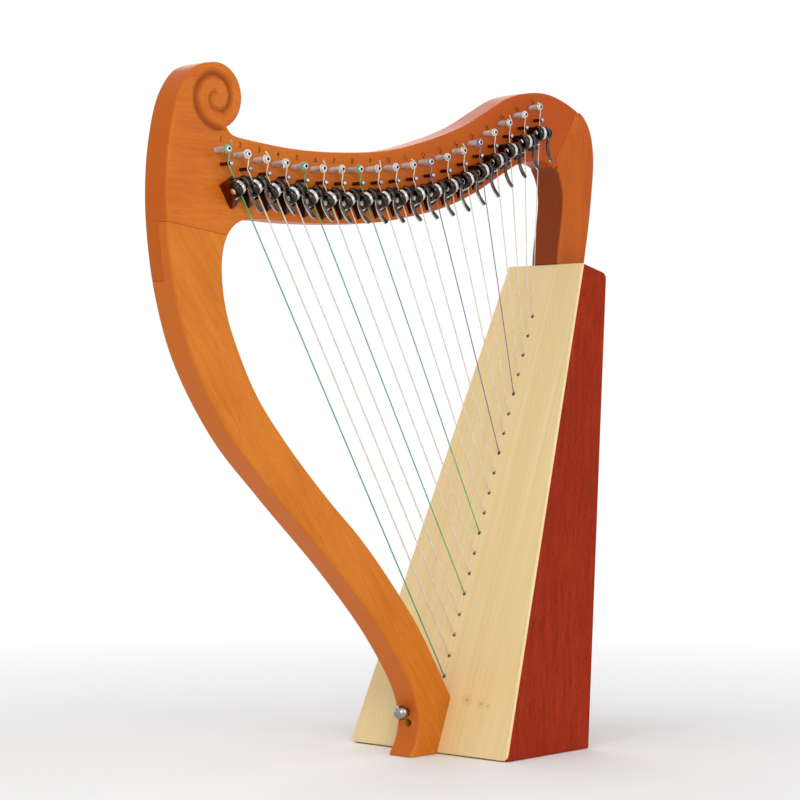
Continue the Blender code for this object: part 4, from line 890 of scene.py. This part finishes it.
def tube(name, route, radius, surface, sides=3):
    """A round tube along the route, with closed ends."""
    curve = bpy.data.curves.new(name, "CURVE")
    curve.dimensions = "3D"
    curve.bevel_depth = radius
    curve.bevel_resolution = sides
    curve.use_fill_caps = True
    line = curve.splines.new("POLY")
    line.points.add(len(route) - 1)
    for point, spot in zip(line.points, route):
        point.co = (*spot, 1)
    holder = bpy.data.objects.new(name, curve)
    scene.collection.objects.link(holder)
    bpy.context.view_layer.update()
    mesh = bpy.data.meshes.new_from_object(holder.evaluated_get(bpy.context.evaluated_depsgraph_get()))
    bpy.data.objects.remove(holder)
    mesh.materials.clear()
    mesh.materials.append(surface)
    made = bpy.data.objects.new(name, mesh)
    scene.collection.objects.link(made)
    return made


routes = [string_route(index) for index in range(STRINGS)]
for index, (route, heading, run, touch) in enumerate(routes):
    number = index + 1
    surface = COLOURS.get(number, clear_nylon)
    string = tube(f"string_{number:02d}_look", route, string_radius(index), surface)
    node = "strings_and_rib"
    if number in COLOURS:
        node = f"string_{number:02d}_{'green' if surface is green_nylon else 'violet'}"
    finish(string, nodes=(node,), angle=60)

# Bridge pins, driven into the neck: bars with a groove for the string, dark brown as painted shade, and a bright round
# head
for index, pin in enumerate(bridge_pins_at):
    under = string_y(index) - string_radius(index) - 0.6
    plane = string_y(index)
    wide = string_radius(index)
    bm = bmesh.new()
    profile = [(FIRST, radius) for FIRST, radius in
               ((-13, 1.5), (plane + wide + 0.9, 1.5), (plane + wide + 0.3, 1.72), (plane + wide * 0.5, 1.6),
                (plane, 1.54), (plane - wide * 0.5, 1.6), (under + 0.1, 1.72))]
    turned(bm, in_space(pin, 0), ACROSS, RIGHT, profile, 24)
    finish(solid(f"bridge_pin_{index + 1:02d}", bm, pin_shaft_shade), nodes=("neck",))
    bm = bmesh.new()
    profile = [(under + 0.1, 1.7), (under, 1.95), (under - 0.3, 2.0), (under - 0.8, 1.85), (under - 1.15, 1.45),
               (under - 1.33, 0.9), (under - 1.4, 0.2)]
    turned(bm, in_space(pin, 0), ACROSS, RIGHT, profile, 24)
    finish(solid(f"bridge_head_{index + 1:02d}", bm, head_steel), nodes=("neck",))

# Tuning pins, of chromed steel, held by friction in the neck: a drilled near end and a square key
# end behind the neck. Each turns with its own body.
def square_radius(angle, half):
    return min(half / max(abs(math.cos(angle)), abs(math.sin(angle))), half * 1.3)


for index, peg in enumerate(tuning_pins_at):
    turns, pitch = winding(index)
    tip = string_y(index) - 1.8 - pitch * turns - string_radius(index) - 0.5
    bm = bmesh.new()
    rings = []
    for y, radius in ((tip + 1.1, 0.1), (tip + 1.1, 0.85), (tip + 0.15, 1.15), (tip, 1.3), (tip, 2.05),
                      (tip + 0.35, 2.4), (17.6, 2.4), (18.5, 2.35)):
        rings.append([in_space(peg + polar(2 * math.pi * i / 40, radius), y) for i in range(40)])
    for y, half in ((19.6, 1.8), (27.6, 1.75), (28.4, 1.35)):
        rings.append([in_space(peg + polar(2 * math.pi * i / 40, square_radius(2 * math.pi * i / 40, half)), y)
                      for i in range(40)])
    loft(bm, rings)
    pin = solid(f"tuning_pin_{index + 1:02d}_look", bm, pin_steel)
    # The drilled hole at each pin's near end is coloured dark as painted shade.
    pin.data.materials.append(dark_steel_and_shade)
    for face in pin.data.polygons:
        off = pin.data.vertices[face.vertices[0]].co - in_space(peg, 0)
        if face.center.y < tip + 1.2 and max(math.hypot(pin.data.vertices[i].co.x - peg.x,
                                                        pin.data.vertices[i].co.z - peg.y)
                                             for i in face.vertices) < 1.35:
            face.material_index = 1
    finish(pin, f"tuning_pin_body_{index + 1:02d}", (f"tuning_pin_{index + 1:02d}",))

# Levers, in the lever's own space: a to the right across the string, n out from the neck and u down
# the string, from the axle. The fixed base has a wedge, a drum with a screw, a polished saddle, a
# plate with its fret and a black cheek. The handle turns on an axle and ends in a flared arm.
def lever_point(a, u, n):
    return Vector((a, n, u))


def lever_matrix(index):
    route, heading, run, touch = routes[index]
    up = in_space(polar(heading), 0)
    across = Vector((up.z, 0, -up.x))
    drop = 12 + 6.5 * 0.2 ** index
    string_here = string_y(index) * (1 - drop / run)
    origin = in_space(touch, string_here - 4.2) - up * drop
    return Matrix.Translation(origin) @ Matrix((across, -ACROSS, -up)).transposed().to_4x4()


def joined(name, parts):
    """Several solids as one object in which each keeps its own surface."""
    bm = bmesh.new()
    mesh = bpy.data.meshes.new(name)
    for part in parts:
        known = len(bm.faces)
        first = len(mesh.materials)
        bm.from_mesh(part.data)
        bm.faces.ensure_lookup_table()
        for face in bm.faces[known:]:
            face.material_index += first
        for surface in part.data.materials:
            mesh.materials.append(surface)
        bpy.data.objects.remove(part)
    bm.to_mesh(mesh)
    bm.free()
    return mesh


def lever_body(name, surface, profile, count=36):
    bm = bmesh.new()
    turned(bm, Vector((0, 0, 0)), RIGHT, UP, profile, count)
    return solid(name, bm, surface)


def lever_prism(name, surface, outline_un, left, right, rounding=0.0):
    """A plate square to the axle, from its outline in u and n."""
    bm = bmesh.new()
    prism(bm, [lever_point(left, u, n) for u, n in outline_un], RIGHT * (right - left))
    made = solid(name, bm, surface)
    if rounding:
        soften(made, rounding, 2, 40)
    return made


lever_frames = [lever_matrix(index) for index in range(STRINGS)]
REACH = max(-13.5 - place.translation.y for place in lever_frames) + 0.5

drum = lever_body("drum", black_nickel, [(-9.9, 0.3), (-9.85, 2.6), (-9.62, 4.2), (-9.2, 5.4), (-8.6, 6.2), (-7.9, 6.65),
                                         (-7.2, 6.8), (-5.6, 6.8), (-5.3, 6.5), (-5.3, 3.6), (-1.9, 3.6),
                                         (-1.5, 3.4), (-1.5, 1.95), (-7.6, 1.95), (-7.6, 0.3)])
screw = lever_body("screw", polished_and_highlight, [(-9.3, 2.7), (-10.1, 2.65), (-10.5, 2.2), (-10.75, 1.4), (-10.85, 0.2)], 28)
bm = bmesh.new()
slot = Matrix.Rotation(math.radians(35), 4, "X")
prism(bm, [slot @ Vector((-11.2, n, u)) for u, n in ((-3, -0.4), (3, -0.4), (3, 0.4), (-3, 0.4))], RIGHT * 0.9)
combine(screw, solid("slot_tool", bm), "DIFFERENCE")
saddle_outline = [(4.2 * math.cos(t) * 1, 0) for t in (0,)]
saddle = []
for i in range(25):
    turn = math.radians(-25 - 180 + 230 * i / 24)
    saddle.append((6.5 * math.cos(turn), -6.5 * math.sin(turn)))
for i in range(25):
    turn = math.radians(25 - 230 * i / 24)
    saddle.append((4.4 * math.cos(turn), -4.4 * math.sin(turn)))
saddle_piece = lever_prism("saddle", polished_and_highlight, saddle, -4.8, -1.75, 0.45)
wedge_piece = lever_prism("wedge", black_nickel, [(-6, -REACH), (-6, -0.3), (-2, -0.6), (15.5, -11.0), (15.5, -REACH)],
                          -8.3, -1.7, 0.5)
plate_piece = lever_prism("plate", black_nickel, [(-5.5, -REACH), (-5.5, -10.2), (13.5, -10.2), (13.5, -REACH)],
                          -1.7, 6.8, 0.4)
cheek = [(4.2, -10.2)]
for i in range(21):
    angle = math.radians(-43.6 + 267.2 * i / 20)
    cheek.append((5.8 * math.cos(angle), 5.8 * math.sin(angle)))
cheek.append((-4.2, -10.2))
cheek_piece = lever_prism("cheek", black_cap, cheek, 4.2, 6.8, 0.9)
fret_route = [lever_point(-4.6, 9.3, -11), lever_point(-4.6, 9.3, -8.2), lever_point(-4.2, 9.3, -7.5),
              lever_point(-3.5, 9.3, -7.2), lever_point(0, 9.3, -7.1), lever_point(3.0, 9.3, -7.2),
              lever_point(3.9, 9.3, -7.6), lever_point(4.3, 9.3, -8.3), lever_point(4.3, 9.3, -11)]
fret_piece = tube("fret", fret_route, 0.9, polished_and_highlight, 4)
base_mesh = joined("lever_base", [drum, screw, saddle_piece, wedge_piece, plate_piece, cheek_piece, fret_piece])

axle = lever_body("axle", dark_steel_and_shade, [(-7.0, 1.4), (-6.8, 1.6), (3.9, 1.6), (5.6, 1.6), (5.8, 1.4)], 20)
cam = []
for i in range(33):
    angle = math.radians(-48.6 + 277.2 * i / 32)
    cam.append((3.2 * math.cos(angle), 3.2 * math.sin(angle)))
cam_piece = lever_prism("cam", arm_nickel, cam, -1.1, 1.7, 0.35)
hub = lever_body("hub", arm_nickel, [(1.7, 1.6), (1.7, 5.0), (2.0, 5.3), (3.5, 5.3), (3.8, 4.9), (3.9, 1.6)], 40)
# A bright ring round the hub's rim: a painted highlight on the dark hub.
hub_rim_highlight = lever_body("hub_rim_highlight", polished_and_highlight, [(1.5, 4.1), (1.4, 4.6), (1.5, 5.1), (1.85, 5.35), (2.1, 5.1), (2.1, 4.1)], 40)
ARM_CURVE = [(-5.2, 0.5), (-4.6, 3.0), (-2.6, 4.9), (1.0, 5.4), (5.5, 4.0), (11, 2.3), (19, 3.3), (25.8, 6.5)]
ARM_HALVES = [1.2, 1.25, 1.25, 1.25, 1.2, 1.3, 1.8, 2.3]
arm_line = spline(ARM_CURVE, 6)
bm = bmesh.new()
rings = []
for i, spot in enumerate(arm_line):
    before = arm_line[max(0, i - 1)]
    after = arm_line[min(len(arm_line) - 1, i + 1)]
    along = (after - before).normalized()
    normal = Vector((-along.y, along.x))
    share = i / 6
    low = min(int(share), len(ARM_HALVES) - 2)
    half = ARM_HALVES[low] + (ARM_HALVES[low + 1] - ARM_HALVES[low]) * (share - low)
    thick = 0.95
    if i > len(arm_line) - 4:
        half *= (1, 0.9, 0.6)[i - len(arm_line) + 3]
    section = [(-1, 0), (-0.94, 0.72), (-0.78, 0.95), (0, 1), (0.78, 0.95), (0.94, 0.72), (1, 0),
               (0.94, -0.72), (0.78, -1), (-0.78, -1), (-0.94, -0.72)]
    rings.append([lever_point(2.65 + half * across, *(spot + normal * thick * up)) for across, up in section])
loft(bm, rings)
arm_piece = solid("arm", bm, polished_and_highlight)
# The arm's broad faces take dark nickel; its narrow sides and its tip keep the bright metal as painted highlights.
arm_piece.data.materials.append(arm_nickel)
for face in arm_piece.data.polygons:
    if abs(face.normal.x) < 0.75 and face.center.z < 25.2:
        face.material_index = 1
handle_mesh = joined("lever_handle", [axle, cam_piece, hub, hub_rim_highlight, arm_piece])

for index, place in enumerate(lever_frames):
    number = index + 1
    for name, mesh, body, node in (("lever_base", base_mesh, "harp", "neck"),
                                   ("lever_handle", handle_mesh, f"lever_handle_body_{number:02d}",
                                    f"lever_handle_{number:02d}")):
        made = bpy.data.objects.new(f"{name}_{number:02d}_look", mesh.copy())
        scene.collection.objects.link(made)
        made.data.transform(place)
        # Only the first lever's wedge is coloured brown; the other wedges stay black nickel.
        if name == "lever_base" and number == 1:
            made.data.materials[3] = first_wedge_brown
        finish(made, body, (node,), angle=40)

# Plain string numbers, stamped in dark brown beside the tuning pins
ink, shader, place = new_material("stamp_ink", specular_ior_level=0.1)
speckle = place.noise(2600.0, 2)
drive(shader, "Base Color", speckle.ramp(0.4, 0.7).mix(srgb(84, 36, 10), srgb(116, 56, 18)))
drive(shader, "Roughness", speckle * 0.2 + 0.5)
for index, peg in enumerate(tuning_pins_at):
    share = index / (STRINGS - 1)
    letters = bpy.data.curves.new(f"number_{index + 1:02d}", "FONT")
    letters.body = str(index + 1)
    letters.size = 6.0
    letters.offset = 0.1
    letters.align_x = "CENTER"
    letters.align_y = "CENTER"
    letters.extrude = 0.04
    holder = bpy.data.objects.new(letters.name, letters)
    scene.collection.objects.link(holder)
    bpy.context.view_layer.update()
    mesh = bpy.data.meshes.new_from_object(holder.evaluated_get(bpy.context.evaluated_depsgraph_get()))
    bpy.data.objects.remove(holder)
    mesh.materials.clear()
    mesh.materials.append(ink)
    facing = Matrix((RIGHT, UP, -ACROSS)).transposed().to_4x4()
    turn = Matrix.Rotation(-math.radians(45) * share ** 1.5, 4, "Z")
    spot = peg + Vector((5 - 3.4 * share, 8.6 - 3.1 * share))
    mesh.transform(Matrix.Translation(in_space(spot, -13.53)) @ facing @ turn)
    made = bpy.data.objects.new(f"number_{index + 1:02d}", mesh)
    scene.collection.objects.link(made)
    finish(made)

# Camera where the photograph was taken from, pale floor and soft light
camera_data = bpy.data.cameras.new("camera")
camera_data.sensor_width = 36
camera_data.lens = 110.16
camera_data.clip_start = 0.05
camera = bpy.data.objects.new("camera", camera_data)
scene.collection.objects.link(camera)
camera.location = (-1.4918, -1.4325, 0.2986)
look = Vector((0.7249, 0.6888, 0.0017))
camera.rotation_euler = look.to_track_quat("-Z", "Y").to_euler()
scene.camera = camera

bpy.ops.mesh.primitive_plane_add(size=12, location=(0, 0, -0.0005))
floor = bpy.context.object
floor.name = "floor"
floor_surface, shader, place = new_material("floor", roughness=0.8)
grain = place.noise(3.0)
drive(shader, "Base Color", grain.mix(srgb(252, 252, 252), srgb(249, 249, 249)))
tree = floor_surface.node_tree
path = tree.nodes.new("ShaderNodeLightPath")
seen = Wire(tree, path.outputs["Is Camera Ray"])
seen = seen.math("MAXIMUM", seen, Wire(tree, path.outputs["Is Glossy Ray"]))
away = place.node("ShaderNodeVectorMath", 1, {0: place}, operation="LENGTH").ramp(0.35, 1.1)
glow = tree.nodes.new("ShaderNodeEmission")
blend = tree.nodes.new("ShaderNodeMixShader")
tree.links.new((seen * away).socket, blend.inputs[0])
tree.links.new(shader.outputs[0], blend.inputs[1])
tree.links.new(glow.outputs[0], blend.inputs[2])
tree.links.new(blend.outputs[0], tree.nodes["Material Output"].inputs[0])
floor.data.materials.append(floor_surface)


def lamp(name, place, size, power, target=(0, 0, 0.28)):
    data = bpy.data.lights.new(name, "AREA")
    data.size = size
    data.energy = power
    made = bpy.data.objects.new(name, data)
    scene.collection.objects.link(made)
    made.location = place
    made.rotation_euler = (Vector(target) - Vector(place)).to_track_quat("-Z", "Y").to_euler()


lamp("key_light", (-1.35, -1.75, 1.1), 1.0, 20)
lamp("top_light", (-0.7, 0.1, 2.1), 1.2, 8)
lamp("side_light", (0.8, -2.1, 0.8), 1.4, 9)
lamp("back_light", (1.0, 1.3, 1.5), 1.4, 8)
world = bpy.data.worlds.new("studio")
scene.world = world
world.use_nodes = True
tree = world.node_tree
path = tree.nodes.new("ShaderNodeLightPath")
seen = Wire(tree, path.outputs["Is Camera Ray"])
shown = seen.math("MAXIMUM", seen, Wire(tree, path.outputs["Is Glossy Ray"]))
shown = shown.math("MAXIMUM", shown, Wire(tree, path.outputs["Is Transmission Ray"]))
background = tree.nodes["Background"]
background.inputs["Color"].default_value = (1, 1, 1, 1)
tree.links.new((shown * 0.55 + 0.45).socket, background.inputs["Strength"])
scene.view_settings.view_transform = "Standard"
